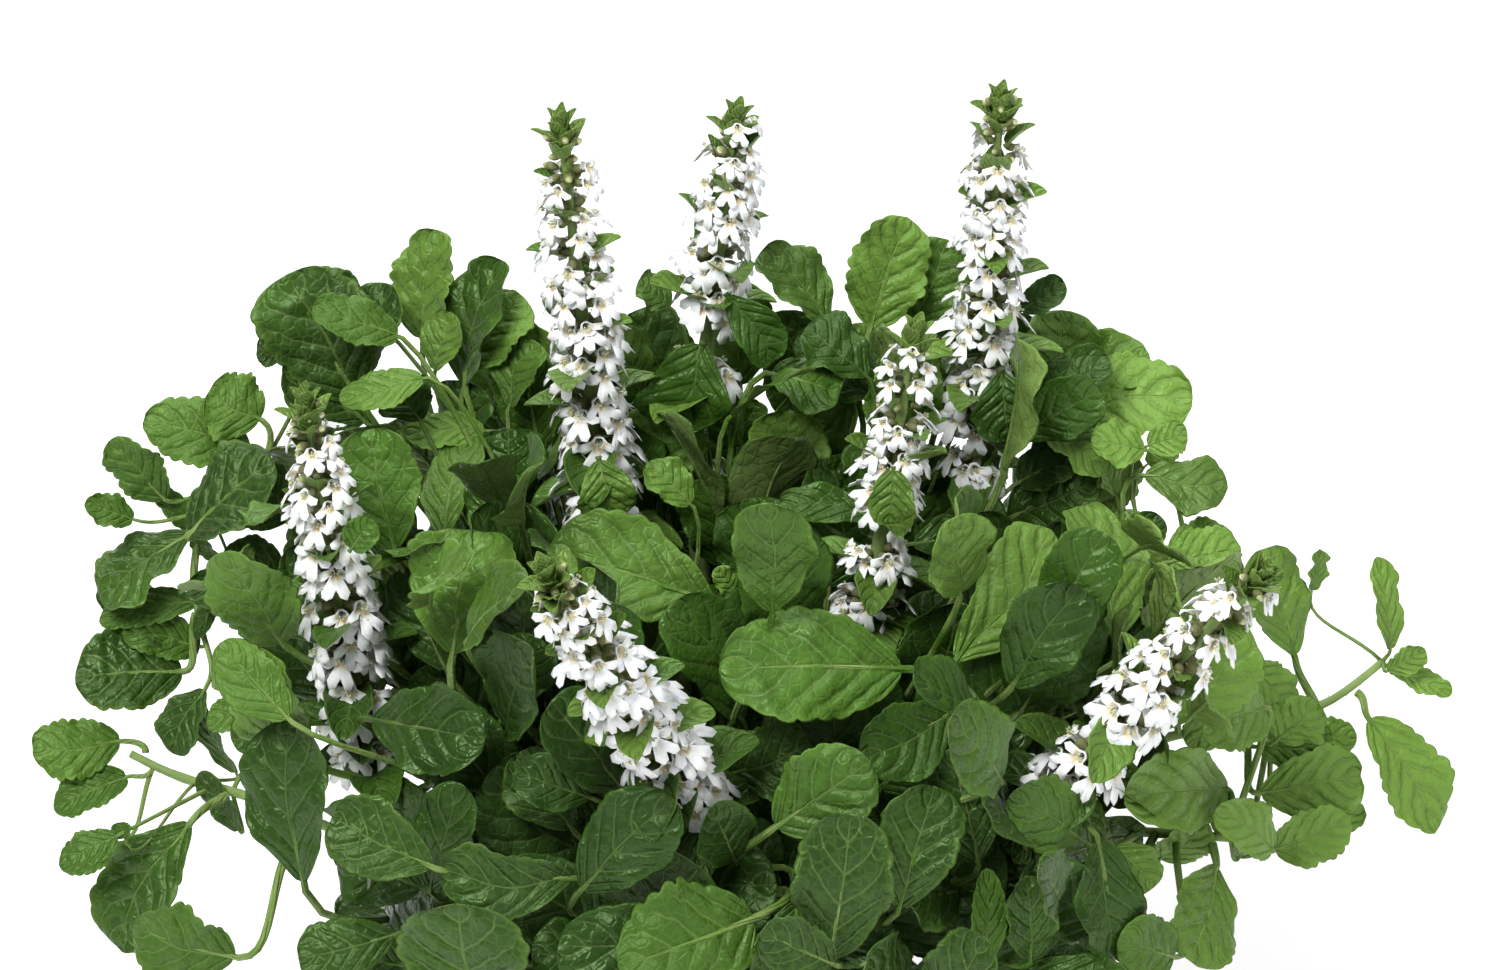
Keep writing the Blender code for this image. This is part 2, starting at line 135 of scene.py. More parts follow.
def closed_tube(rings, first, last, uv=None, marks=None):
    """Rings of equal count joined in order, with a pole at each end, turned to face outwards."""
    rows, around = rings.shape[:2]
    points = np.concatenate([rings.reshape(-1, 3), [first], [last]])
    grid = np.arange(rows * around).reshape(rows, around)
    a, b = grid[:-1], grid[1:]
    quads = np.stack([a, b, np.roll(b, -1, 1), np.roll(a, -1, 1)], -1).reshape(-1, 4)
    head, tail = rows * around, rows * around + 1
    start = np.stack([np.full(around, head), grid[0], np.roll(grid[0], -1)], -1)
    end = np.stack([np.full(around, tail), np.roll(grid[-1], -1), grid[-1]], -1)
    tris = np.concatenate([start, end])
    middle = points.mean(0)
    if signed_volume(points - middle, quads, tris) < 0:
        quads, tris = quads[:, ::-1], tris[:, ::-1]
    if uv is None:
        u, v = np.meshgrid(np.linspace(0, 1, rows), np.linspace(0, 1, around), indexing="ij")
        uv = np.stack([u, v], -1)
    uv = np.concatenate([uv.reshape(-1, 2), [(0, 0.5)], [(1, 0.5)]])
    held = {}
    for name, value in (marks or {}).items():
        spread = np.broadcast_to(value, (rows, around)).reshape(-1)
        held[name] = np.concatenate([spread, [spread[0]], [spread[-1]]])
    return Surface(points, quads, tris, uv, held)


def tube_along(centres, radii, sides, square=0.0, marks=None):
    """A tube round a path. Its section is a circle, or with `square` a rounded square.

    The frame is carried along the path without twist: each side vector is the last one less its
    part along the new tangent.
    """
    tangents = unit(np.gradient(centres, axis=0))
    side = np.cross(tangents[0], SLANTED)
    sides_along = []
    for tangent in tangents:
        side = unit(side - tangent * (side @ tangent))
        sides_along.append(side)
    across = np.array(sides_along)
    over = np.cross(across, tangents)
    angle = np.linspace(0, 2 * math.pi, sides, endpoint=False) + math.pi / sides
    reach = (np.abs(np.cos(angle)) ** 5 + np.abs(np.sin(angle)) ** 5) ** (-1 / 5)
    reach = 1 + square * (reach - 1)
    radius = np.asarray(radii, float)[:, None] * reach
    rings = (
        centres[:, None]
        + across[:, None] * (radius * np.cos(angle))[..., None]
        + over[:, None] * (radius * np.sin(angle))[..., None]
    )
    return closed_tube(rings, centres[0], centres[-1], marks=marks)


def joined(surfaces):
    """Several surfaces as one, with every named value that any of them has."""
    names = sorted({name for s in surfaces for name in s.marks})
    base = np.cumsum([0] + [len(s.points) for s in surfaces[:-1]])
    return Surface(
        np.concatenate([s.points for s in surfaces]),
        np.concatenate([s.quads + b for s, b in zip(surfaces, base)]).astype(np.int64),
        np.concatenate([s.tris + b for s, b in zip(surfaces, base)]).astype(np.int64),
        np.concatenate([s.uv for s in surfaces]),
        {n: np.concatenate([s.marks.get(n, np.zeros(len(s.points))) for s in surfaces]) for n in names},
    )


def make_piece(name, surfaces, material, slot, *nodes):
    """One mesh object of the surfaces, riding on the plant's body and standing for the CAD nodes."""
    whole = joined(surfaces)
    mesh = bpy.data.meshes.new(name)
    corners = np.concatenate([whole.quads.reshape(-1), whole.tris.reshape(-1)]).astype(np.int32)
    sizes = np.concatenate([np.full(len(whole.quads), 4), np.full(len(whole.tris), 3)]).astype(np.int32)
    starts = np.concatenate([[0], np.cumsum(sizes)[:-1]]).astype(np.int32)
    mesh.vertices.add(len(whole.points))
    mesh.vertices.foreach_set("co", (whole.points * MM).astype(np.float32).reshape(-1))
    mesh.loops.add(len(corners))
    mesh.loops.foreach_set("vertex_index", corners)
    mesh.polygons.add(len(sizes))
    mesh.polygons.foreach_set("loop_start", starts)
    mesh.update(calc_edges=True)
    mesh.polygons.foreach_set("use_smooth", np.ones(len(sizes), bool))
    layer = mesh.uv_layers.new(name="UVMap")
    layer.data.foreach_set("uv", whole.uv[corners].astype(np.float32).reshape(-1))
    for mark, values in whole.marks.items():
        held = mesh.attributes.new(mark, "FLOAT", "POINT")
        held.data.foreach_set("value", values.astype(np.float32))
    mesh.materials.append(material)
    ob = bpy.data.objects.new(name, mesh)
    bpy.context.scene.collection.objects.link(ob)
    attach(ob, "root")
    if nodes:
        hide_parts(*nodes)
    return ob


def copies(template, quads, origins, frames, scales, uv, marks=None):
    """The same small sheet at many places: each copy's points turned by its frame and moved.

    `template` is (points, 3) for all or (copies, points, 3) for each its own; a frame's rows are the
    directions of the template's X, Y and Z.
    """
    count = len(origins)
    shapes = np.broadcast_to(template, (count, *np.asarray(template).shape[-2:]))
    placed = np.einsum("npk,nkc->npc", shapes * scales[:, None, None], frames) + origins[:, None]
    size = placed.shape[1]
    all_quads = (quads[None] + (np.arange(count) * size)[:, None, None]).reshape(-1, 4)
    held = {}
    for name, value in (marks or {}).items():
        held[name] = np.broadcast_to(value, (count, size)).reshape(-1)
    return Surface(placed.reshape(-1, 3), all_quads, np.zeros((0, 3), int), np.tile(uv, (count, 1)), held)


# ---------------------------------------------------------------- reading the frame's solids

def weld(name):
    """A CAD node's corners in millimetres, each once, and its triangles."""
    mesh = frame["nodes"][name].data
    loose = np.empty(3 * len(mesh.vertices))
    mesh.vertices.foreach_get("co", loose)
    mesh.calc_loop_triangles()
    tris = np.empty(3 * len(mesh.loop_triangles), np.int32)
    mesh.loop_triangles.foreach_get("vertices", tris)
    points, index = np.unique(np.round(loose.reshape(-1, 3) / MM, 3), axis=0, return_inverse=True)
    return points, index.reshape(-1)[tris].reshape(-1, 3)


def links(count, tris):
    """Which corners share an edge, as a square table."""
    linked = np.zeros((count, count), bool)
    linked[tris, np.roll(tris, -1, 1)] = True
    return linked | linked.T


def steps_from(linked, start):
    """Rings of corners by their number of edges from the start."""
    seen = np.zeros(len(linked), bool)
    ring = np.atleast_1d(start)
    rings = []
    while len(ring):
        rings.append(ring)
        seen[ring] = True
        ring = np.flatnonzero(linked[ring].any(0) & ~seen)
    return rings


@dataclass
class Leaf:
    """A leaf's design: its stalk and midrib curves, the way it faces, its width and its look."""

    stalk: np.ndarray
    spine: np.ndarray
    normal: np.ndarray
    width: float
    fold: float
    look: str
    seed: int


def read_leaf(name, look, seed):
    """The design of a leaf from its solid: rings of five corners between a root and a tip."""
    points, tris = weld(name)
    linked = links(len(points), tris)
    ends = []
    for corner in np.flatnonzero(linked.sum(0) == 5):
        rings = steps_from(linked, corner)
        if len(rings[-1]) == 1 and all(len(r) == 5 for r in rings[1:-1]):
            ends.append(rings)
    rings = min(ends, key=lambda rs: np.ptp(points[rs[1]], axis=0).max())
    stalk_count = len(STALK_STATIONS) - 1
    stalk = [points[rings[0][0]]] + [points[r].mean(0) for r in rings[1:1 + stalk_count]]
    centres, ups, halves, lifts = [], [], [], []
    for ring in rings[1 + stalk_count:-1]:
        at = points[ring]
        apart = np.linalg.norm(at[:, None] - at[None], axis=-1)
        left, right = np.unravel_index(apart.argmax(), apart.shape)
        near = linked[np.ix_(ring, ring)]
        top = np.flatnonzero(near[left] & near[right])[0]
        below = [i for i in range(5) if i not in (left, right, top)]
        up = unit(at[top] - at[below].mean(0))
        centre = (at[top] + at[below].mean(0)) / 2
        centres.append(centre)
        ups.append(up)
        halves.append(apart.max() / 2)
        lifts.append(((at[left] + at[right]) / 2 - centre) @ up)
    centres.append(points[rings[-1][0]])
    fit = np.polynomial.polynomial.polyfit(BLADE_STATIONS, np.array(centres), 2)
    spine = np.array([fit[0], fit[0] + fit[1] / 2, fit.sum(0)])
    c = np.polynomial.polynomial.polyfit(np.append(STALK_STATIONS, 1.0), np.array(stalk + [spine[0]]), 3)
    stalk = np.array([c[0], c[0] + c[1] / 3, c[0] + 2 * c[1] / 3 + c[2] / 3, c.sum(0)])
    fold = float(np.mean(np.array(lifts) / np.array(halves)))
    return Leaf(stalk, spine, unit(np.mean(ups, 0)), 2.0 * max(halves) / 0.98, fold, look, seed)


def read_tube(name, sides=4):
    """Centres of a tube solid's rings, from its lowest end."""
    points, tris = weld(name)
    start = np.argsort(points[:, 2])[:sides]
    rings = steps_from(links(len(points), tris), start)
    return np.array([points[r].mean(0) for r in rings])


@dataclass
class Head:
    """A flower head: the foot of its axis, the axis, its length and its whorls' places and radii."""

    foot: np.ndarray
    axis: np.ndarray
    length: float
    whorls: list
    seed: int


def read_head(number):
    """A flower head from its solid: rings along its straight axis, widest at each whorl."""
    points, _ = weld(f"flower_head_{number}")
    stem_end = read_tube(f"flower_stem_{number}")[-1]
    middle = points.mean(0)
    axis = np.linalg.svd(points - middle)[2][0]
    axis *= np.sign((middle - stem_end) @ axis)
    along = (points - stem_end) @ axis
    order = np.argsort(along)
    rings = order.reshape(-1, 8)
    place = along[rings].mean(1)
    radius = np.linalg.norm(points[rings] - stem_end - along[rings][..., None] * axis, axis=-1).max(1)
    whorls = [(place[i], radius[i]) for i in range(1, len(place) - 1)
              if radius[i] > radius[i - 1] and radius[i] >= radius[i + 1] and radius[i] > 7.0]
    return Head(stem_end, axis, float(place[-1]), whorls, 100 * number)


# ---------------------------------------------------------------- material graphs

class Graph:
    """A material's node tree, with short ways to add sums, mixes and ramps."""

    def __init__(self, name, roughness=0.5, specular=0.5):
        self.material = bpy.data.materials.new(name)
        self.material.use_nodes = True
        self.tree = self.material.node_tree
        self.shader = self.tree.nodes["Principled BSDF"]
        self.shader.inputs["Roughness"].default_value = roughness
        self.shader.inputs["Specular IOR Level"].default_value = specular
        coords = self.add("ShaderNodeTexCoord")
        self.place = coords.outputs["Object"]

    def add(self, kind, sockets=None, **settings):
        """A node with its settings and its inputs, which are values or other nodes' outputs."""
        node = self.tree.nodes.new(kind)
        for key, value in settings.items():
            setattr(node, key, value)
        for key, value in (sockets or {}).items():
            self.put(node.inputs[key], value)
        return node

    def put(self, socket, value):
        """Link an output to a socket, or set the socket's value."""
        if isinstance(value, bpy.types.NodeSocket):
            self.tree.links.new(value, socket)
        else:
            socket.default_value = value

    def sum(self, operation, *values):
        """A Math node's result."""
        node = self.add("ShaderNodeMath", operation=operation)
        for socket, value in zip(node.inputs, values):
            self.put(socket, value)
        return node.outputs[0]

    def fade(self, value, low, high, out_low=0.0, out_high=1.0):
        """A value mapped smoothly from one range to another."""
        node = self.add("ShaderNodeMapRange", interpolation_type="SMOOTHSTEP")
        keys = ("Value", "From Min", "From Max", "To Min", "To Max")
        for key, given in zip(keys, (value, low, high, out_low, out_high)):
            self.put(node.inputs[key], given)
        return node.outputs["Result"]

    def mix(self, share, a, b):
        """A colour between two others."""
        node = self.add("ShaderNodeMix", data_type="RGBA")
        self.put(node.inputs["Factor"], share)
        for socket, value in ((node.inputs[6], a), (node.inputs[7], b)):
            self.put(socket, (*value[:3], 1.0) if isinstance(value, (tuple, list)) else value)
        return node.outputs[2]

    def noise(self, scale, detail=4.0, where=None, roughness=0.55):
        """Noise at a scale, on Object coordinates unless told otherwise."""
        place = self.place if where is None else where
        node = self.add("ShaderNodeTexNoise", {"Vector": place, "Scale": scale, "Detail": detail,
                                               "Roughness": roughness})
        return node.outputs["Fac"]

    def value(self, name):
        """A named value of the mesh."""
        return self.add("ShaderNodeAttribute", attribute_name=name).outputs["Fac"]

    def relief(self, height, distance, strength=1.0, below=None):
        """A Bump node's normal."""
        node = self.add("ShaderNodeBump", {"Height": height, "Distance": distance, "Strength": strength})
        if below is not None:
            self.put(node.inputs["Normal"], below)
        return node.outputs["Normal"]

    def finish(self, colour, roughness=None, normal=None):
        """Send colour, roughness and normal to the shader."""
        self.put(self.shader.inputs["Base Color"], colour)
        if roughness is not None:
            self.put(self.shader.inputs["Roughness"], roughness)
        if normal is not None:
            self.put(self.shader.inputs["Normal"], normal)
        return self.material


def leaf_material(name, deep, main, light, rib, gloss):
    """A leaf: green that varies over the plant, partly as painted light and shade, and over the blade, fine
    arching veins with painted shade in their grooves, crinkles between.

    A vein lies where (s - 0.26 |v| - 0.16 v^2) / VEIN_STEP passes a whole number, with s along the
    blade and v across it, as in the blade's own shape.
    """
    g = Graph(name, specular=0.45)
    g.shader.inputs["Specular Tint"].default_value = (0.68, 1.0, 0.48, 1.0)
    uv = g.add("ShaderNodeUVMap", uv_map="UVMap").outputs["UV"]
    parts = g.add("ShaderNodeSeparateXYZ", {"Vector": uv})
    along = parts.outputs["X"]
    across = g.sum("ABSOLUTE", g.sum("MULTIPLY_ADD", parts.outputs["Y"], 2.0, -1.0))
    wander = g.sum("MULTIPLY_ADD", g.noise(70.0, 2.0), 0.09, -0.045)
    arch = g.sum("MULTIPLY", across, g.sum("MULTIPLY_ADD", across, VEIN_CURL, VEIN_LEAN))
    phase = g.sum("DIVIDE", g.sum("ADD", g.sum("SUBTRACT", along, arch), wander), VEIN_STEP)
    saw = g.sum("FRACT", phase)
    off = g.sum("MINIMUM", saw, g.sum("SUBTRACT", 1.0, saw))
    fading = g.fade(across, 0.6, 0.97, 1.0, 0.0)
    vein = g.sum("MULTIPLY", g.fade(off, 0.015, 0.075, 1.0, 0.0), fading)
    trough = g.sum("MULTIPLY", g.fade(off, 0.0, 0.3, 1.0, 0.0), fading)
    rib_width = g.sum("MULTIPLY_ADD", along, -0.045, 0.07)
    midrib = g.fade(across, rib_width, g.sum("MULTIPLY", rib_width, 0.4))
    net_node = g.add("ShaderNodeTexVoronoi", {"Vector": g.place, "Scale": 330.0}, feature="DISTANCE_TO_EDGE")
    net = g.fade(net_node.outputs["Distance"], 0.0, 0.16, 1.0, 0.0)
    lines = g.sum("MAXIMUM", vein, midrib)

    tone = g.value("tone")
    body = g.mix(g.fade(g.noise(16.0, 3.0), 0.32, 0.7), deep, main)
    body = g.mix(g.sum("MULTIPLY", g.fade(g.noise(130.0, 4.0), 0.38, 0.72), 0.45), body, deep)
    # The tone value carries painted light and painted shade from the leaf's place in the mound, besides its
    # own tone.
    body = g.mix(g.fade(tone, 0.35, 1.0, 0.0, 0.8), body, light)
    body = g.mix(g.fade(tone, 0.35, 0.0, 0.0, 0.75), body, deep)
    body = g.mix(g.fade(across, 0.82, 1.0, 0.0, 0.25), body, light)
    # Painted shade: the vein grooves are darkened.
    body = g.mix(g.sum("MULTIPLY", trough, 0.3), body, deep)
    body = g.mix(g.sum("MULTIPLY", net, 0.1), body, light)
    body = g.mix(g.sum("MULTIPLY", lines, 0.24), body, rib)
    body = g.mix(g.sum("MULTIPLY", g.value("under"), 0.5), body, rib)
    body = g.mix(g.value("stalk"), body, g.mix(g.fade(g.noise(60.0, 2.0), 0.3, 0.7), rib, main))
    spots = g.fade(g.noise(230.0, 2.0), 0.76, 0.82)
    body = g.mix(g.sum("MULTIPLY", spots, 0.3), body, (0.13, 0.10, 0.03))

    dull = g.fade(g.noise(45.0, 3.0), 0.3, 0.75, gloss, gloss + 0.18)
    dull = g.sum("MULTIPLY_ADD", lines, 0.1, dull)
    crinkle = g.relief(g.noise(190.0, 2.0, roughness=0.4), 0.0022, 0.42)
    height = g.sum("MULTIPLY_ADD", net, -0.3, g.sum("MULTIPLY", g.sum("MAXIMUM", trough, midrib), -1.0))
    height = g.sum("ADD", height, g.sum("MULTIPLY", g.noise(800.0, 3.0), 0.2))
    return g.finish(body, dull, g.relief(height, 0.0005, 0.7, crinkle))


def petal_material():
    """White petals: a cool shade in the folds, a yellow throat, faint lines and a green tube foot."""
    g = Graph("bugle_petal", 0.5, 0.35)
    uv = g.add("ShaderNodeUVMap", uv_map="UVMap").outputs["UV"]
    parts = g.add("ShaderNodeSeparateXYZ", {"Vector": uv})
    out = parts.outputs["Y"]
    white = g.mix(g.fade(g.noise(260.0, 3.0), 0.35, 0.7), (0.88, 0.91, 0.92), (0.97, 0.98, 0.96))
    stripes = g.sum("FRACT", g.sum("MULTIPLY", parts.outputs["X"], 20.0))
    line = g.fade(g.sum("ABSOLUTE", g.sum("SUBTRACT", stripes, 0.5)), 0.0, 0.14, 1.0, 0.0)
    faint = g.sum("MULTIPLY", g.sum("MULTIPLY", line, g.fade(out, 0.95, 0.5)), 0.22)
    white = g.mix(faint, white, (0.62, 0.66, 0.74))
    throat = g.sum("MULTIPLY", g.fade(out, 0.38, 0.45), g.fade(out, 0.6, 0.5))
    lower = g.value("lower")
    white = g.mix(g.sum("MULTIPLY", g.sum("MULTIPLY", throat, lower), 0.6), white, (0.86, 0.58, 0.10))
    white = g.mix(g.fade(out, 0.4, 0.1, 0.0, 0.8), white, (0.66, 0.68, 0.36))
    white = g.mix(g.value("bud"), white, g.mix(g.fade(out, 0.2, 0.9), (0.36, 0.42, 0.16), (0.80, 0.78, 0.52)))
    g.shader.inputs["Subsurface Weight"].default_value = 0.35
    g.shader.inputs["Subsurface Radius"].default_value = (0.002, 0.002, 0.0015)
    height = g.sum("MULTIPLY_ADD", line, -0.4, g.noise(900.0, 2.0))
    return g.finish(white, None, g.relief(height, 0.00012, 0.6))


def green_material(name, deep, main, warm):
    """Woolly green, as of stems and calyces, with brown-red flushes and a fine bump."""
    gloss = 0.55
    g = Graph(name, gloss, 0.35)
    body = g.mix(g.fade(g.noise(60.0, 3.0), 0.3, 0.7), deep, main)
    body = g.mix(g.fade(g.noise(38.0, 2.0), 0.55, 0.8, 0.0, 0.6), body, warm)
    body = g.mix(g.sum("MULTIPLY", g.value("warm"), 0.8), body, warm)
    body = g.mix(g.sum("MULTIPLY", g.value("pale"), 0.8), body, (0.52, 0.58, 0.36))
    wool = g.noise(1500.0, 2.0)
    body = g.mix(g.fade(wool, 0.55, 0.8, 0.0, 0.2), body, (0.34, 0.42, 0.2))
    rough = g.fade(g.noise(80.0), 0.3, 0.7, gloss - 0.05, gloss + 0.15)
    return g.finish(body, rough, g.relief(wool, 0.0003, 0.7))


def clay_material():
    """Fired clay: warm orange body, paler lime bloom, darker damp streaks, darker towards the bottom and fine
    sandy grain.
    """
    g = Graph("fired_clay", 0.85, 0.25)
    body = g.mix(g.fade(g.noise(22.0, 5.0), 0.3, 0.7), (0.36, 0.145, 0.062), (0.50, 0.225, 0.105))
    body = g.mix(g.fade(g.noise(9.0, 6.0, roughness=0.7), 0.52, 0.75, 0.0, 0.55), body, (0.58, 0.42, 0.29))
    streak = g.add("ShaderNodeMapping", {"Vector": g.place, "Scale": (60.0, 60.0, 9.0)}).outputs[0]
    body = g.mix(g.fade(g.noise(1.0, 4.0, where=streak), 0.55, 0.8, 0.0, 0.35), body, (0.25, 0.10, 0.05))
    height_z = g.add("ShaderNodeSeparateXYZ", {"Vector": g.place}).outputs["Z"]
    # Darker towards the bottom of the pot.
    body = g.mix(g.fade(height_z, 0.03, 0.0, 0.0, 0.45), body, (0.22, 0.12, 0.07))
    grain = g.noise(900.0, 3.0)
    body = g.mix(g.fade(grain, 0.62, 0.72, 0.0, 0.4), body, (0.62, 0.5, 0.38))
    rings = g.add("ShaderNodeMapping", {"Vector": g.place, "Scale": (6.0, 6.0, 420.0)}).outputs[0]
    relief = g.sum("MULTIPLY_ADD", g.noise(1.0, 2.0, where=rings), 0.8, grain)
    return g.finish(body, g.fade(g.noise(30.0), 0.3, 0.7, 0.75, 0.95), g.relief(relief, 0.0004, 0.6))


def soil_material():
    """Moist potting mix: near-black peat with brown fibres and pale grit."""
    g = Graph("potting_mix_dark", 0.9, 0.25)
    body = g.mix(g.fade(g.noise(120.0, 5.0), 0.35, 0.7), (0.018, 0.011, 0.007), (0.075, 0.045, 0.026))
    body = g.mix(g.fade(g.noise(420.0, 3.0), 0.62, 0.7, 0.0, 0.7), body, (0.16, 0.10, 0.055))
    body = g.mix(g.value("grit"), body, (0.46, 0.43, 0.38))
    rough = g.fade(g.noise(150.0), 0.3, 0.7, 0.7, 1.0)
    return g.finish(body, rough, g.relief(g.noise(600.0, 5.0), 0.0012, 0.8))


# ---------------------------------------------------------------- leaves

VEIN_STEP, VEIN_LEAN, VEIN_CURL = 0.205, 0.26, 0.16

LOOKS = {
    # quilting in mm, depth and count of the margin's teeth, waviness in mm, cupping, base and tip powers
    "dark": dict(quilt=0.6, teeth=0.05, count=9, wave=1.8, cup=0.05, base=0.88, end=0.46),
    "mid": dict(quilt=0.7, teeth=0.08, count=9, wave=1.8, cup=0.04, base=0.8, end=0.47),
    "pale": dict(quilt=0.65, teeth=0.14, count=9, wave=1.9, cup=0.02, base=0.68, end=0.52),
    "young": dict(quilt=0.4, teeth=0.2, count=6, wave=3.0, cup=0.15, base=0.8, end=0.55),
    "bract": dict(quilt=0.25, teeth=0.06, count=4, wave=0.6, cup=0.25, base=0.5, end=0.7),
}
TONES = {"dark": 0.2, "mid": 0.42, "pale": 0.6, "young": 0.75, "bract": 0.6}


def share_between(value, low, high):
    """How far a value lies from low to high, kept within 0 and 1."""
    return min(max((value - low) / (high - low), 0.0), 1.0)


def tone_with_painted_light_and_shade(leaf, rng):
    """How light a leaf is, 0 to 1: lighter right, darker left, with painted light on top and painted shade
    low in the middle.
    """
    x, y, z = leaf.spine[1]
    # low: how far a leaf sits low in the middle at the front, where shade falls under the mound.
    low = share_between(abs(x), 110.0, 80.0) * share_between(z, RIM + 88.0, RIM + 58.0)
    low *= share_between(y, 10.0, -20.0)
    shift = 0.32 * share_between(x, 80.0, 120.0) - 0.42 * share_between(x, -75.0, -110.0)
    # The highest leaves are lightened as painted light from above, and the low middle ones darkened as
    # painted shade.
    shift += 0.2 * share_between(z, RIM + 80.0, RIM + 110.0) - 0.5 * low
    return float(np.clip(TONES[leaf.look] + shift + rng.normal() * 0.16, 0, 1))


def blade_surface(leaf, rows=38, columns=15):
    """A leaf blade as one closed sheet.

    Half-width along the midrib is s^base (1 - s)^end, scaled to the leaf's width, with rounded teeth.
    Height over the midrib plane is the fold and cup towards the edges, a wave at the margin, a bulge
    between each two arching veins, irregular puckers and a groove on the midrib. The underside
    follows it a thickness lower and meets it at the margin.
    """
    look = LOOKS[leaf.look]
    rng = np.random.default_rng(leaf.seed)
    small = min(leaf.width / 26.0, 1.2)
    t = np.linspace(0, 1, rows + 2)[1:-1]
    s = 0.55 * t + 0.45 * (0.5 - 0.5 * np.cos(math.pi * t))
    tangent = bezier_slope(leaf.spine, s)
    up = unit(leaf.normal - tangent * (tangent @ leaf.normal)[:, None])
    side = np.cross(tangent, up)
    base, end = look["base"] * rng.uniform(0.9, 1.12), look["end"] * rng.uniform(0.9, 1.15)
    peak = base / (base + end)
    outline = s ** base * (1 - s) ** end / (peak ** base * (1 - peak) ** end)
    v = np.sin(np.linspace(-1, 1, columns) * math.pi / 2 * 0.86) / math.sin(math.pi / 2 * 0.86)
    a = np.abs(v)[None]
    level = s[:, None]
    left = v[None] < 0
    start = np.where(left, rng.uniform(), rng.uniform())
    teeth = np.abs(np.sin(math.pi * (look["count"] * level ** 0.9 + start))) ** 0.6 - 0.6
    sway = np.sin(2 * math.pi * (1.7 * level + start)) + 0.6 * np.sin(2 * math.pi * (3.1 * level + 2 * start))
    wavy = 1 + (look["teeth"] * teeth + 0.045 * sway) * np.clip(level * 3, 0, 1)
    half = leaf.width / 2 * outline[:, None] * wavy
    half = half + 1.1 * (1 - level) ** 2
    x = v[None] * half
    phase = (level - VEIN_LEAN * a - VEIN_CURL * a * a) / VEIN_STEP
    swell = 0.5 - 0.5 * np.cos(2 * math.pi * phase)
    envelope = np.sin(math.pi * np.clip(a * 1.02, 0, 1)) ** 0.6
    envelope = envelope * np.clip(level * 5, 0, 1) * np.clip((1 - level) * 5, 0, 1)
    plane = np.stack(np.broadcast_arrays(x, level * 44.0, 0.0), -1)
    pucker = ripple(plane, 7.0, leaf.seed) + 0.8 * ripple(plane, 15.0, leaf.seed + 1)
    z = look["quilt"] * small * ((swell - 0.35) * envelope + 0.45 * pucker * np.clip(level * 4, 0, 1))
    z = z - 0.6 * small * bump(x, 1.1 * small) * (1 - 0.6 * level)
    z = z + (leaf.fold * half) * (np.sqrt(a * a + 0.03) - 0.17)
    z = z + (look["cup"] + rng.normal() * 0.08) * half * a ** 2
    wave = np.sin(2 * math.pi * (rng.uniform(1.3, 2.6) * level + 3 * start))
    z = z + look["wave"] * small * wave * a ** 2.5 * np.clip(level * 3, 0, 1)
    x = x + (leaf.width * 0.07 * rng.normal()) * np.sin(math.pi * level) ** 2
    twist = rng.normal() * 0.16 * level
    x, z = x * np.cos(twist) - z * np.sin(twist), x * np.sin(twist) + z * np.cos(twist)
    centre = bezier(leaf.spine, s)
    top = centre[:, None] + side[:, None] * x[..., None] + up[:, None] * z[..., None]
    thick = (0.45 * small + 0.08) * (1 - a ** 6)
    low = top - up[:, None] * np.broadcast_to(thick, z.shape)[..., None]
    rings = np.concatenate([top, low[:, -2:0:-1]], 1)
    flat_v = (v + 1) / 2
    around = np.concatenate([flat_v, flat_v[-2:0:-1]])
    uv = np.stack(np.broadcast_arrays(s[:, None], around[None]), -1)
    under = np.concatenate([np.zeros(columns), np.ones(columns - 2)])
    # The tone holds painted light on top of the mound and painted shade low in its middle, besides each
    # leaf's own tone.
    tone = tone_with_painted_light_and_shade(leaf, rng)
    marks = {"under": under[None], "tone": tone, "stalk": 0.0}
    tip = bezier(leaf.spine, [1.0])[0] + up[-1] * z[-1, columns // 2]
    return closed_tube(rings, leaf.spine[0], tip, uv, marks)


STALK_SIDES = 7


def stalk_surface(leaf):
    """A leaf's stalk, which runs on under the blade as its midrib and thins to nothing near the tip."""
    s = np.array((0.05, 0.14, 0.3, 0.48, 0.66, 0.84))
    tangent = bezier_slope(leaf.spine, s)
    up = unit(leaf.normal - tangent * (tangent @ leaf.normal)[:, None])
    small = min(leaf.width / 26.0, 1.15)
    rib = 0.95 * small * (1 - s) ** 0.8
    stalk_t = np.linspace(0, 0.97, 11)
    stalk = bezier(leaf.stalk, stalk_t)
    radii = np.concatenate([(1.25 * small + 0.25) * (1 - 0.3 * stalk_t), rib])
    centres = np.concatenate([stalk, bezier(leaf.spine, s) - up * (0.55 * rib + 0.45 * small)[:, None]])
    rng = np.random.default_rng(leaf.seed + 7)
    marks = {"under": 0.0, "tone": float(np.clip(TONES[leaf.look] + rng.normal() * 0.1, 0, 1)), "stalk": 1.0}
    return tube_along(centres, radii, STALK_SIDES, marks=marks)


def leaf_surfaces(leaf, rows=38, columns=15):
    """Blade and stalk of one leaf."""
    return [blade_surface(leaf, rows, columns), stalk_surface(leaf)]


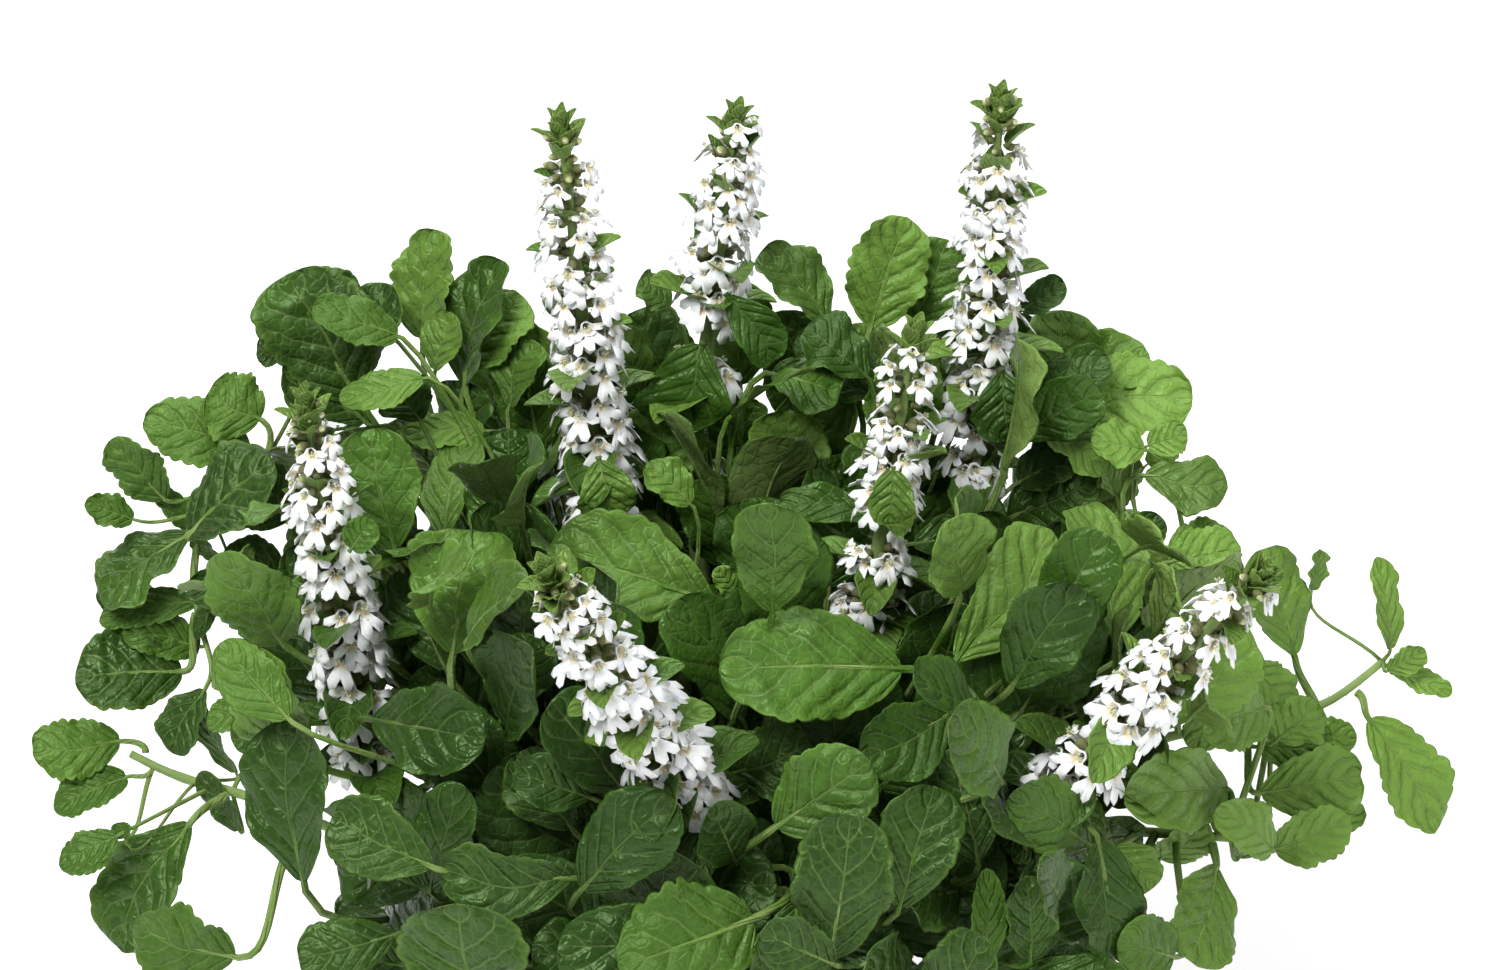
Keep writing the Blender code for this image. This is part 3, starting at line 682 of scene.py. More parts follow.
def coarse_blade(leaf):
    """A blade as a sheet of a few faces, to tell whether it crosses another."""
    s = np.linspace(0.04, 0.98, 7)
    tangent = bezier_slope(leaf.spine, s)
    up = unit(leaf.normal - tangent * (tangent @ leaf.normal)[:, None])
    side = np.cross(tangent, up)
    half = leaf.width / 2 * np.sin(math.pi * s ** 1.25) ** 0.6 + 0.8
    v = np.array((-1.0, -0.5, 0.0, 0.5, 1.0))
    lift = leaf.fold * half[:, None] * np.abs(v)
    across = side[:, None] * (half[:, None] * v)[..., None]
    points = bezier(leaf.spine, s)[:, None] + across + up[:, None] * lift[..., None]
    return points.reshape(-1, 3), grid_quads(len(s), len(v))


def grid_quads(rows, columns):
    """Faces of an open grid of points."""
    grid = np.arange(rows * columns).reshape(rows, columns)
    return np.stack([grid[:-1, :-1], grid[1:, :-1], grid[1:, 1:], grid[:-1, 1:]], -1).reshape(-1, 4)


class Standing:
    """What already stands in the mound, kept as search trees with their boxes."""

    def __init__(self):
        self.trees = []

    def add(self, points, faces):
        """Remember a surface."""
        tree = BVHTree.FromPolygons(points.tolist(), faces.tolist())
        self.trees.append((points.min(0) - 0.5, points.max(0) + 0.5, tree))

    def crossed(self, points, faces):
        """Whether a surface crosses any that stands."""
        low, high = points.min(0), points.max(0)
        tree = None
        for other_low, other_high, other in self.trees:
            if (low > other_high).any() or (high < other_low).any():
                continue
            tree = tree or BVHTree.FromPolygons(points.tolist(), faces.tolist())
            if tree.overlap(other):
                return True
        return False


MOUND = Standing()


def keep_clear(path, length):
    """A strip from a path towards the viewer's side and up, that no filling leaf may cross."""
    ahead = np.linspace(2.0, length, 6)
    points = path[None] + ahead[:, None, None] * FRONT_AND_UP
    MOUND.add(points.reshape(-1, 3), grid_quads(6, len(path)))


def design_leaf(foot, tip, width, look, seed, facing=None, root=None, bow=0.13, fold=0.08):
    """A leaf from its blade's two ends: it arches by `bow` of its length and faces outwards."""
    foot, tip = np.asarray(foot, float), np.asarray(tip, float)
    along = unit(tip - foot)
    length = np.linalg.norm(tip - foot)
    if facing is None:
        facing = unit((foot + tip) / 2 - MOUND_CENTRE) * 0.6 + FRONT_AND_UP * 0.7
    normal = unit(facing - along * (facing @ along))
    spine = np.array([foot, (foot + tip) / 2 + normal * bow * length, tip])
    if root is None:
        heading = math.atan2(foot[1], foot[0])
        low = max(0.0, 98.0 - (foot[2] - RIM))
        reach = min(0.16 * math.hypot(foot[0], foot[1]) + 0.1 * low + 10.0, MOUTH_RADIUS - 5.5)
        spread = np.random.default_rng(seed + 3).normal(0, 0.25)
        turn = heading + spread
        root = np.array((reach * math.cos(turn), reach * math.sin(turn), SOIL_HIGH[2] - 4.0))
    first = unit(spine[1] - foot)
    gap = np.linalg.norm(foot - root)
    out = unit(np.array((root[0], root[1], 0.0)) + 1e-6)
    away = unit(UP + 0.35 * out) if root[2] < RIM else unit(foot - root)
    stalk = np.array([root, root + away * 0.45 * gap, foot - first * min(0.35 * gap, 17.0), foot])
    return Leaf(stalk, spine, normal, width, fold, look, seed)


# Leaves between the outer ones: blade foot and tip in mm, heights from the pot's rim, width, look.
# The rows were worked out outside this script, from points picked by eye, and not by a rule of it.
# The report's section on a broken rule says how.
MORE_LEAVES = (
    ((-89, 48, 139), (-112, 44, 149), 15, "pale"),
    ((-102, 60, 119), (-92, 68, 145), 20, "mid"),
    ((-103, 50, 113), (-124, 56, 131), 22, "mid"),
    ((-125, 55, 132), (-133, 55, 133), 10, "dark"),
    ((-82, 40, 130), (-105, 36, 125), 12, "pale"),
    ((-83, 62, 127), (-78, 66, 143), 14, "mid"),
    ((-72, 62, 125), (-56, 68, 144), 22, "pale"),
    ((-59, 52, 115), (-51, 56, 133), 16, "mid"),
    ((-69, 40, 114), (-70, 50, 130), 24, "dark"),
    ((-81, 42, 112), (-86, 46, 123), 16, "dark"),
    ((-37, 18, 113), (-53, 12, 117), 16, "mid"),
    ((-61, 8, 93), (-63, 20, 110), 16, "dark"),
    ((-16, 62, 136), (-25, 62, 144), 14, "mid"),
    ((42, 52, 131), (25, 58, 143), 20, "dark"),
    ((14, 45, 129), (33, 42, 124), 22, "mid"),
    ((42, 68, 134), (44, 76, 157), 14, "pale"),
    ((54, 68, 133), (63, 74, 156), 20, "mid"),
    ((81, 52, 141), (93, 52, 149), 10, "dark"),
    ((77, 33, 136), (79, 26, 118), 18, "dark"),
    ((83, 40, 113), (105, 44, 124), 16, "dark"),
    ((98, 62, 115), (124, 64, 127), 20, "mid"),
    ((86, 40, 111), (103, 32, 101), 14, "mid"),
    ((99, 30, 98), (75, 34, 104), 26, "dark"),
    ((117, 34, 111), (102, 32, 115), 14, "pale"),
    ((118, 36, 111), (129, 38, 114), 10, "pale"),
    ((117, 30, 105), (140, 28, 102), 17, "mid"),
    ((46, -22, 133), (45, -26, 121), 12, "mid"),
    ((11, -15, 109), (35, 12, 125), 27, "mid"),
    ((37, -8, 119), (16, -10, 120), 13, "dark"),
    ((4, -34, 103), (-1, -34, 111), 7, "young"),
    ((5, -34, 103), (9, -34, 103), 5, "young"),
    ((122, 0, 94), (142, 5, 96), 16, "pale"),
    ((159, 12, 58), (150, 26, 84), 24, "mid"),
    ((148, -22, 61), (129, -44, 67), 18, "pale"),
    ((153, -10, 44), (163, -8, 55), 18, "pale"),
    ((150, -40, 27), (133, -50, 46), 14, "pale"),
    ((157, -15, 14), (178, -12, 22), 16, "pale"),
    ((154, -4, 39), (175, -4, 41), 14, "mid"),
    ((164, 22, 73), (166, 26, 84), 7, "young"),
    ((185, 12, 53), (195, 12, 60), 8, "young"),
    ((102, -80, 48), (101, -74, 72), 10, "pale"),
    ((105, -68, 45), (115, -74, 36), 14, "mid"),
    ((82, -94, 27), (80, -92, 51), 16, "mid"),
    ((110, -78, 28), (87, -90, 49), 22, "dark"),
    ((121, -78, 17), (105, -88, 28), 18, "mid"),
    ((74, -62, 56), (79, -55, 74), 18, "mid"),
    ((-79, -74, 36), (-102, -64, 42), 22, "dark"),
    ((-85, -80, 16), (-111, -84, 22), 24, "mid"),
    ((-39, -76, 56), (-52, -70, 76), 18, "mid"),
    ((12, -86, 60), (-10, -88, 66), 14, "mid"),
    ((29, -102, 32), (34, -98, 74), 26, "mid"),
    ((47, -98, 45), (56, -86, 75), 22, "mid"),
    ((30, -108, 34), (11, -112, 47), 16, "mid"),
    ((25, -108, 34), (48, -104, 42), 14, "dark"),
    ((68, -84, 51), (60, -74, 79), 20, "dark"),
    ((70, -92, 25), (70, -88, 51), 9, "pale"),
    ((91, -34, 71), (77, -28, 86), 22, "dark"),
    ((64, -44, 70), (75, -34, 86), 16, "mid"),
    ((-5, -34, 89), (-15, -30, 99), 12, "mid"),
    ((43, -12, 89), (65, -6, 98), 18, "dark"),
    ((13, -20, 97), (38, -26, 97), 12, "mid"),
    ((-58, -54, 76), (-47, -46, 96), 20, "dark"),
    ((-78, -30, 81), (-90, -16, 104), 18, "dark"),
    ((-8, 4, 110), (-20, 8, 120), 12, "mid"),
    ((-91, 58, 131), (-113, 62, 143), 13, "mid"),
    ((-64, 18, 93), (-57, 26, 108), 11, "dark"),
    ((-163, 32, 90), (-176, 30, 96), 9, "young"),
    ((-150, 40, 81), (-163, 42, 98), 7, "young"),
    ((-149, 40, 81), (-144, 46, 98), 7, "young"),
    ((-150, 38, 81), (-158, 34, 91), 6, "young"),
    ((-149, 38, 81), (-142, 34, 89), 6, "young"),
    ((-151, 24, 56), (-172, 20, 63), 12, "pale"),
    ((-146, 8, 50), (-155, 0, 34), 15, "mid"),
    ((-129, 2, 46), (-145, 0, 44), 10, "pale"),
    ((-119, -18, 57), (-132, -24, 50), 15, "mid"),
    ((-134, 22, 78), (-146, 16, 61), 7, "mid"),
    ((-105, -34, 63), (-116, -28, 79), 17, "dark"),
    ((-122, 2, 50), (-129, 14, 81), 24, "dark"),
    ((-164, -36, 29), (-179, -40, 21), 10, "pale"),
    ((-165, -36, 28), (-166, -34, 32), 7, "pale"),
    ((-157, 30, 66), (-174, 30, 69), 13, "dark"),
    ((-128, 30, 78), (-147, 28, 83), 15, "mid"),
    ((-120, 34, 89), (-135, 38, 99), 20, "mid"),
    ((-128, 48, 113), (-142, 50, 121), 20, "pale"),
    ((-130, 0, 70), (-126, -8, 56), 14, "mid"),
    ((-141, 4, 26), (-150, 6, 47), 8, "mid"),
    ((-133, -14, 17), (-143, -10, 34), 9, "mid"),
    ((-146, 27, 67), (-173, 22, 63), 11, "pale"),
    ((-168, -7, 8), (-184, -11, 4), 11, "pale"),
    ((-86, -86, 29), (-111, -90, 24), 17, "mid"),
    ((-76, -85, 43), (-67, -85, 75), 17, "dark"),
    ((-34, -82, 69), (-53, -85, 79), 14, "dark"),
    ((148, -35, 25), (133, -40, 43), 12, "pale"),
    ((159, 9, 31), (177, 8, 35), 12, "pale"),
    ((159, -4, 8), (179, -1, 17), 13, "pale"),
    ((186, 17, 57), (182, 27, 81), 9, "young"),
    ((187, 16, 51), (203, 11, 46), 7, "young"),
    ((141, -2, 55), (129, -8, 40), 15, "pale"),
    ((150, 0, 60), (163, 2, 44), 15, "pale"),
    ((113, 46, 98), (105, 50, 114), 12, "young"),
    ((119, 46, 100), (128, 48, 107), 7, "young"),
    ((47, 59, 131), (23, 63, 140), 18, "dark"),
    ((42, 55, 117), (19, 57, 122), 18, "dark"),
    ((42, 10, 103), (16, 8, 107), 12, "dark"),
    ((-17, 60, 124), (-22, 66, 143), 11, "mid"),
    ((84, 44, 100), (101, 46, 108), 15, "mid"),
    ((68, 38, 98), (96, 36, 100), 18, "dark"),
    ((110, 26, 80), (122, 30, 92), 12, "mid"),
    ((124, 24, 84), (142, 26, 88), 13, "pale"),
    ((100, -76, 52), (104, -88, 24), 22, "dark"),
    ((84, -88, 50), (83, -100, 26), 16, "mid"),
    ((104, -76, 28), (125, -84, 16), 15, "pale"),
    ((50, -98, 40), (27, -112, 30), 18, "dark"),
    ((22, -100, 46), (15, -114, 24), 18, "mid"),
    ((-60, 60, 113), (-68, 64, 141), 20, "mid"),
    ((-51, 62, 103), (-55, 66, 132), 22, "mid"),
    ((-37, 62, 106), (-33, 66, 132), 22, "mid"),
    ((-23, 60, 100), (-23, 66, 135), 24, "mid"),
    ((-9, 62, 103), (-9, 68, 137), 22, "mid"),
    ((5, 62, 103), (3, 68, 133), 20, "mid"),
    ((19, 64, 105), (17, 70, 136), 22, "mid"),
    ((32, 62, 106), (30, 68, 140), 24, "mid"),
    ((45, 60, 107), (50, 66, 138), 22, "mid"),
    ((61, 60, 107), (64, 66, 132), 22, "mid"),
    ((78, 58, 108), (81, 62, 134), 22, "dark"),
    ((95, 52, 105), (100, 56, 131), 22, "mid"),
    ((-56, 42, 85), (-61, 46, 111), 24, "dark"),
    ((-45, 42, 91), (-42, 46, 117), 24, "dark"),
    ((-28, 42, 85), (-31, 46, 111), 24, "dark"),
    ((-17, 44, 90), (-14, 48, 119), 24, "mid"),
    ((0, 42, 85), (-3, 46, 111), 24, "dark"),
    ((16, 42, 91), (19, 46, 117), 24, "mid"),
    ((33, 42, 85), (30, 46, 111), 24, "dark"),
    ((50, 42, 91), (52, 46, 117), 24, "dark"),
    ((67, 42, 85), (66, 46, 111), 24, "dark"),
    ((83, 40, 92), (86, 44, 115), 22, "dark"),
    ((-53, 22, 73), (-58, 26, 99), 24, "dark"),
    ((-33, 22, 73), (-30, 26, 99), 24, "dark"),
    ((-11, 20, 74), (-14, 24, 101), 24, "dark"),
    ((11, 18, 76), (8, 22, 102), 24, "dark"),
    ((30, 18, 76), (33, 22, 102), 24, "dark"),
    ((74, 16, 77), (71, 20, 103), 22, "dark"),
    ((-49, 72, 65), (-49, 76, 95), 26, "dark"),
    ((-52, 78, 81), (-54, 82, 102), 22, "mid"),
    ((-33, 66, 65), (-34, 70, 92), 24, "dark"),
    ((-12, 62, 56), (-13, 66, 83), 24, "dark"),
    ((-23, 74, 93), (-26, 78, 115), 24, "mid"),
    ((-62, 72, 93), (-63, 76, 117), 24, "mid"),
    ((-71, 60, 100), (-72, 62, 118), 20, "dark"),
    ((-54, 50, 55), (-54, 54, 78), 24, "dark"),
    ((-40, 40, 57), (-37, 44, 80), 24, "dark"),
    ((-17, 40, 57), (-19, 44, 77), 24, "dark"),
    ((-6, 50, 51), (-5, 54, 75), 24, "dark"),
    ((105, -40, 25), (116, -44, 42), 17, "mid"),
    ((122, -42, 25), (133, -46, 40), 15, "pale"),
    ((141, -38, 23), (147, -40, 35), 13, "mid"),
    ((2, 80, 74), (2, 84, 102), 26, "mid"),
    ((39, 80, 103), (36, 83, 125), 22, "mid"),
    ((-23, 80, 80), (-25, 84, 102), 22, "dark"),
    ((-63, 74, 83), (-64, 78, 107), 22, "dark"),
    ((-43, 80, 77), (-44, 84, 101), 22, "dark"),
    ((92, 62, 118), (95, 66, 138), 22, "mid"),
)


# Large bracts that hang at the foot of a flower head or between its whorls, in front of them.
# Its rows were worked out the same way as those of MORE_LEAVES.
HANGING_BRACTS = (
    ((77, 33, 135), (79, 26, 118), 18, "dark"),
    ((82, 38, 113), (105, 42, 125), 17, "dark"),
    ((46, -24, 135), (45, -28, 121), 12, "mid"),
    ((-5, 42, 139), (-16, 38, 116), 24, "dark"),
    ((2, 44, 153), (15, 40, 135), 14, "dark"),
    ((-33, 14, 118), (-30, 10, 102), 16, "mid"),
    ((-97, -40, 120), (-91, -40, 129), 9, "mid"),
)
LEAVES_IN_PIECE = 75


def runner_spot(foot, routes):
    """The nearest place on a runner for a leaf's foot."""
    points = np.concatenate([route[10:] for route in routes])
    return points[np.linalg.norm(points - foot, axis=1).argmin()]


def settle(leaf_of, tries):
    """The first of several moved leaves that crosses nothing, remembered as standing."""
    for move in tries:
        leaf = leaf_of(move)
        points, faces = coarse_blade(leaf)
        if not MOUND.crossed(points, faces):
            MOUND.add(points, faces)
            return leaf
    return None


# Moves that a listed leaf tries in turn, outwards and across in mm, and more for those at the back.
MOVES = ((0, 0), (-3, 0), (-6, 0), (-4, 4), (-4, -4), (-9, 0), (-7, 6), (-7, -6), (-13, 0), (-17, 0),
         (-22, 0))
BACK_MOVES = ((4, 0), (4, 6), (4, -6), (0, 12), (0, -12), (8, 0), (8, 8), (8, -8), (-8, 14), (-8, -14),
              (12, 0))
BACK_LEAF_FROM = 35.0
RUNNER_LEAF_FROM = 108.0


def placed_more_leaves(routes):
    """The leaves of the list, each moved inwards or along until it is clear of its neighbours."""
    leaves = []
    for i, (foot, tip, width, look) in enumerate(MORE_LEAVES):
        foot = np.array(foot, float) + UP * RIM
        tip = np.array(tip, float) + UP * RIM
        out = unit((foot + tip) / 2 - MOUND_CENTRE)
        across = np.cross(out, UP)
        root = runner_spot(foot, routes) if abs(foot[0]) > RUNNER_LEAF_FROM else None
        tried = MOVES + (BACK_MOVES if foot[1] > BACK_LEAF_FROM else ())
        moves = [out * a + across * b for a, b in tried]

        def moved(move):
            return design_leaf(foot + move, tip + move, width, look, 900 + i, root=root)

        leaf = settle(moved, moves)
        if leaf is not None and leaf.spine[:, 1].max() < BACK_LIMIT:
            leaves.append(leaf)
    for i, (foot, tip, width, look) in enumerate(HANGING_BRACTS):
        foot = np.array(foot, float) + UP * RIM
        tip = np.array(tip, float) + UP * RIM
        leaves.append(design_leaf(foot, tip, width, look, 1200 + i, facing=FRONT_AND_UP,
                                  root=foot - unit(tip - foot), bow=0.2, fold=0.15))
    return leaves


# Nested shells of the mound: share of its full reach, tries, and how long their leaves are in mm.
SHELLS = ((0.97, 170, 33.0), (0.9, 180, 36.0), (0.82, 190, 40.0), (0.73, 190, 42.0), (0.62, 150, 44.0),
          (0.5, 110, 42.0), (0.36, 60, 38.0))
MOUND_REACH = np.array((152.0, 96.0, 140.0))
MOUND_MIDDLE = np.array((0.0, -12.0, RIM))
BACK_LIMIT = POT_HIGH[1] + 32.0


def filling_leaves(fullness):
    """Leaves that fill the mound: golden-angle directions on nested domes, dark inside, partly the leaves'
    own deep green and partly painted shade.

    A dome is |x/a|^3 + |y/b|^3 + |z/c|^3 = 1, flatter on top than a ball. A blade's middle lies on
    its shell and it leans outwards, upwards and round. It faces outwards and, on the front half, a
    little forwards. One that crosses another is moved inwards or outwards, or left out.
    """
    rng = np.random.default_rng(41)
    leaves = []
    golden = math.pi * (3 - math.sqrt(5))
    for reach, tries, long in SHELLS:
        count = int(tries * fullness)
        for i in range(count):
            height = -0.16 + 1.1 * (i + 0.5) / count
            angle = golden * i + reach * 70
            flat = math.sqrt(max(0.0, 1 - height * height))
            way = np.array((flat * math.cos(angle), flat * math.sin(angle), height))
            full = (np.abs(way) ** 3).sum() ** (-1 / 3)
            centre = MOUND_MIDDLE + way * full * MOUND_REACH * reach
            out = unit(way * np.array((1, 1, 1.25)))
            round_it = unit(np.cross(out, UP) + 1e-6) * rng.normal(0, 0.6)
            rise = rng.uniform(0.1, 0.8) if height > 0.15 else rng.uniform(-0.35, 0.4)
            lean = unit(out * rng.uniform(0.2, 0.8) + UP * rise + round_it)
            length = long * rng.uniform(0.8, 1.2)
            width = length * rng.uniform(0.56, 0.74)
            # Inner shells take the dark look: partly the leaves' own deep green, partly painted shade inside
            # the mound.
            outer = reach > 0.85
            look = "dark"
            if outer and abs(centre[0]) > 105:
                look = "pale"
            elif outer and rng.random() < 0.6:
                look = "mid"
            facing = out * 0.8 + UP * 0.35 + (FRONT_AND_UP * 0.5 if centre[1] < 10 else 0.0)
            bow, fold = rng.uniform(0.06, 0.2), rng.uniform(0.0, 0.2)
            seed = int(2000 + 10000 * reach + i)

            def moved(move):
                foot = centre + move - lean * length * 0.5
                return design_leaf(foot, foot + lean * length, width, look, seed, facing=facing,
                                   bow=bow, fold=fold)

            if not within_mound(centre):
                continue
            leaf = settle(moved, [out * k for k in (0, -4, 4, -8, 8, -12)])
            if leaf is None:
                continue
            spine = leaf.spine
            if 25 < spine[:, 2].min() and spine[:, 1].max() < BACK_LIMIT and spine[:, 1].min() > -118:
                leaves.append(leaf)
    return leaves


def within_mound(centre):
    """Whether a filling leaf may stand here: the mound is narrow at the rim and wide above it."""
    above = max(0.0, centre[2] - RIM - 35.0)
    return -88.0 - 0.8 * above < centre[0] < 104.0 + 0.6 * above


# ---------------------------------------------------------------- flowers

# Outline of a flower's face from the bottom of the lower lip round one side: angle, reach in mm.
# A notched middle lobe, a deep cleft, a small side lobe and the short upper lip.
LIP = ((0, 5.0), (9, 7.3), (22, 8.3), (34, 7.0), (43, 2.5), (54, 4.8), (67, 6.2), (80, 5.7),
       (94, 2.2), (135, 1.7), (180, 1.3))


def flower_sheet(lean):
    """A flower as one sheet: a narrow tube that opens into a three-lobed lip.

    Columns run round the face at the outline's angles and rows run from the tube's foot to the
    outline. A point of the lip lies at its share of the outline's reach, on a plane that leans
    outwards by `lean` for each millimetre down and curls back with the square of the reach. X is
    outwards, Z up.
    """
    angles = np.radians([a for a, _ in LIP] + [360 - a for a, _ in LIP[-2:0:-1]])
    reach = np.array([r for _, r in LIP] + [r for _, r in LIP[-2:0:-1]])
    rows = []
    for out, radius in ((0.6, 0.75), (6.6, 1.45)):
        rows.append(np.stack([np.full(len(angles), out), radius * np.sin(angles),
                              0.9 * (out / 6.8) ** 2 - radius * np.cos(angles)], -1))
    for share in (0.48, 1.0):
        r = 1.5 + (reach - 1.5) * share
        down = r * np.cos(angles)
        ruffle = 0.35 * np.cos(angles * 7.3) * share
        forward = 6.9 + lean * np.maximum(down, -1.0) + 0.1 * np.abs(r * np.sin(angles))
        forward = forward - 0.03 * (r - 1.5) ** 2 + ruffle
        rows.append(np.stack([forward, r * np.sin(angles), 0.9 - down], -1))
    grid = np.array(rows)
    count = len(angles)
    index = np.arange(grid.shape[0] * count).reshape(-1, count)
    a, b = index[:-1], index[1:]
    quads = np.stack([a, np.roll(a, -1, 1), np.roll(b, -1, 1), b], -1).reshape(-1, 4)
    outwards = np.array((0.0, 0.4, 0.7, 1.0))[:, None]
    uv = np.stack(np.broadcast_arrays(np.linspace(0, 1, count)[None], outwards), -1)
    lower = np.broadcast_to((np.cos(angles) > 0.1).astype(float), grid.shape[:2])
    return grid.reshape(-1, 3), quads, uv.reshape(-1, 2), lower.reshape(-1)


def small_body(stations, sides):
    """A little closed turned form along X: (place, radius) rings between two poles."""
    x = np.array([s[0] for s in stations], float)
    r = np.array([s[1] for s in stations], float)
    angle = np.linspace(0, 2 * math.pi, sides, endpoint=False)
    rings = np.stack([np.broadcast_to(x[1:-1, None], (len(x) - 2, sides)),
                      r[1:-1, None] * np.cos(angle), r[1:-1, None] * np.sin(angle)], -1)
    return closed_tube(rings, (x[0], 0, 0), (x[-1], 0, 0))


def body_copies(body, origins, frames, scales, marks):
    """Copies of a closed little body."""
    made = copies(body.points, body.quads, origins, frames, scales, body.uv, marks)
    size = len(body.points)
    tris = (body.tris[None] + (np.arange(len(origins)) * size)[:, None, None]).reshape(-1, 3)
    return Surface(made.points, made.quads, tris, made.uv, made.marks)


def axes_round(axis):
    """Two directions square to an axis, the first nearest the front."""
    first = unit(np.array((0.0, -1.0, 0.0)) - axis * -axis[1])
    return first, np.cross(axis, first)


def flower_places(head):
    """For every flower of a head: whorl number, share of the head's length, origin, frame and size.

    A whorl has an upper and a lower ring of flowers, and every other ring is turned by half a step.
    """
    rng = np.random.default_rng(head.seed)
    first, second = axes_round(head.axis)
    rows = []
    for k, (along, radius) in enumerate(head.whorls):
        share = along / head.length
        wide = radius > 9.5
        for tier, (rise, count) in enumerate(((1.6, 6 if wide else 5), (-2.6, 5 if wide else 3))):
            for i in range(count):
                turn = 2 * math.pi * (i + 0.5 * tier + 0.25 * (k % 2)) / count + rng.normal(0, 0.16)
                out = math.cos(turn) * first + math.sin(turn) * second
                tilt = math.radians(rng.normal(6, 11) + 25 * max(0.0, share - 0.7))
                x_way = out * math.cos(tilt) + head.axis * math.sin(tilt)
                z_way = head.axis * math.cos(tilt) - out * math.sin(tilt)
                roll = rng.normal(0, 0.26)
                y_way = np.cross(z_way, x_way)
                y_way, z_way = (y_way * math.cos(roll) + z_way * math.sin(roll),
                                z_way * math.cos(roll) - y_way * math.sin(roll))
                origin = head.foot + head.axis * (along + rise + rng.normal(0, 1.0))
                origin = origin + out * rng.uniform(0.4, 1.8)
                size = min(radius / 12.6, 1.0) * rng.uniform(0.84, 1.02)
                rows.append((k, share, origin, np.array([x_way, y_way, z_way]), size, rng.random()))
    return rows


def is_open(row):
    """Whether a flower is open: nearly all are low on the spike, and few near its top."""
    return row[1] < 0.9 and row[5] > 0.04 + 0.95 * max(0.0, row[1] - 0.45)


def flower_surfaces(head):
    """All open flowers, stamens and buds of a head."""
    rows = flower_places(head)
    rng = np.random.default_rng(head.seed + 5)
    open_ones = [r for r in rows if is_open(r)]
    closed = [r for r in rows if not is_open(r)]
    leaning, quads, uv, lower = flower_sheet(0.85)
    hanging, _, _, _ = flower_sheet(0.3)
    share = rng.uniform(0, 1, len(open_ones))[:, None, None]
    shapes = leaning[None] * share + hanging[None] * (1 - share)
    shapes = shapes + rng.normal(0, 0.1, shapes.shape)
    origins = np.array([r[2] for r in open_ones])
    frames = np.array([r[3] for r in open_ones])
    sizes = np.array([r[4] for r in open_ones])
    flowers = copies(shapes, quads, origins, frames, sizes, uv, {"lower": lower[None], "bud": 0.0})

    stamen = small_body(((4.0, 0), (4.5, 0.16), (8.4, 0.14), (8.7, 0.4), (9.2, 0.38), (9.5, 0)), 4)
    parts = []
    for side, rise in ((-0.08, 0.15), (0.08, 0.15), (-0.05, 0.06), (0.05, 0.06)):
        lean = unit(frames[:, 0] + frames[:, 1] * side + frames[:, 2] * rise)
        turned = np.stack([lean, frames[:, 1], np.cross(lean, frames[:, 1])], 1)
        parts.append(body_copies(stamen, origins, turned, sizes * rng.uniform(0.92, 1.05, len(sizes)),
                                 {"lower": 0.0, "bud": 0.75}))
    bud = small_body(((1.5, 0), (2.2, 0.75), (4.0, 1.2), (5.6, 1.4), (6.6, 0.95), (7.2, 0)), 7)
    if closed:
        parts.append(body_copies(bud, np.array([r[2] for r in closed]), np.array([r[3] for r in closed]),
                                 np.array([r[4] * 0.9 for r in closed]), {"lower": 0.0, "bud": 1.0}))
    return flowers, parts


def bract(foot, way, facing, length, seed, fold=0.2, slender=0.62):
    """One small leaf of the spike: a pointed oval that starts on the stem."""
    leaf = design_leaf(foot, foot + way * length, length * slender, "bract", seed, facing=facing,
                       root=foot - way, bow=0.12, fold=fold)
    return blade_surface(leaf, 14, 9)


def spike_green(head):
    """Calyces, bracts and the leafy tuft of one spike."""
    rng = np.random.default_rng(head.seed + 9)
    first, second = axes_round(head.axis)
    rows = flower_places(head)
    calyx = small_body(((0, 0), (0.8, 0.9), (2.4, 1.75), (3.8, 1.75), (4.8, 1.5), (3.8, 0)), 7)
    cups = body_copies(calyx, np.array([r[2] for r in rows]), np.array([r[3] for r in rows]),
                       np.array([r[4] for r in rows]), {"warm": 0.75, "pale": 0.15})
    parts = []
    for k, (along, _) in enumerate(head.whorls):
        share = along / head.length
        size = 17.0 * (1 - share) ** 0.8 + 7.0
        count = 4 if k < 2 else 2
        for i in range(count):
            turn = (k % 2) * math.pi / 2 + i * (2 * math.pi / count) + rng.normal(0, 0.3)
            out = math.cos(turn) * first + math.sin(turn) * second
            rise = math.radians(-28 + 95 * share + rng.normal(0, 14))
            way = out * math.cos(rise) + head.axis * math.sin(rise)
            facing = head.axis * math.cos(rise) - out * math.sin(rise)
            foot = head.foot + head.axis * (along - 2.5) + out * 2.4
            length = size * rng.uniform(0.8, 1.1) * (1.0 if i % 2 == 0 else 0.85)
            parts.append(bract(foot, way, facing, length, head.seed + 10 * k + i))
    for i in range(10):
        turn = i * 2.4
        out = math.cos(turn) * first + math.sin(turn) * second
        rise = math.radians(32 + 5.0 * i)
        way = out * math.cos(rise) + head.axis * math.sin(rise)
        facing = head.axis * math.cos(rise) - out * math.sin(rise)
        foot = head.foot + head.axis * (head.length - 14.0 + 0.9 * i) + out * 1.0
        parts.append(bract(foot, way, facing, 11.0 - 0.5 * i, head.seed + 300 + i, fold=0.35, slender=0.5))
        parts[-1].marks["tone"] = np.full(len(parts[-1].points), 1.0)
        parts[-1].marks["under"] = np.full(len(parts[-1].points), 0.9)
    return cups, parts


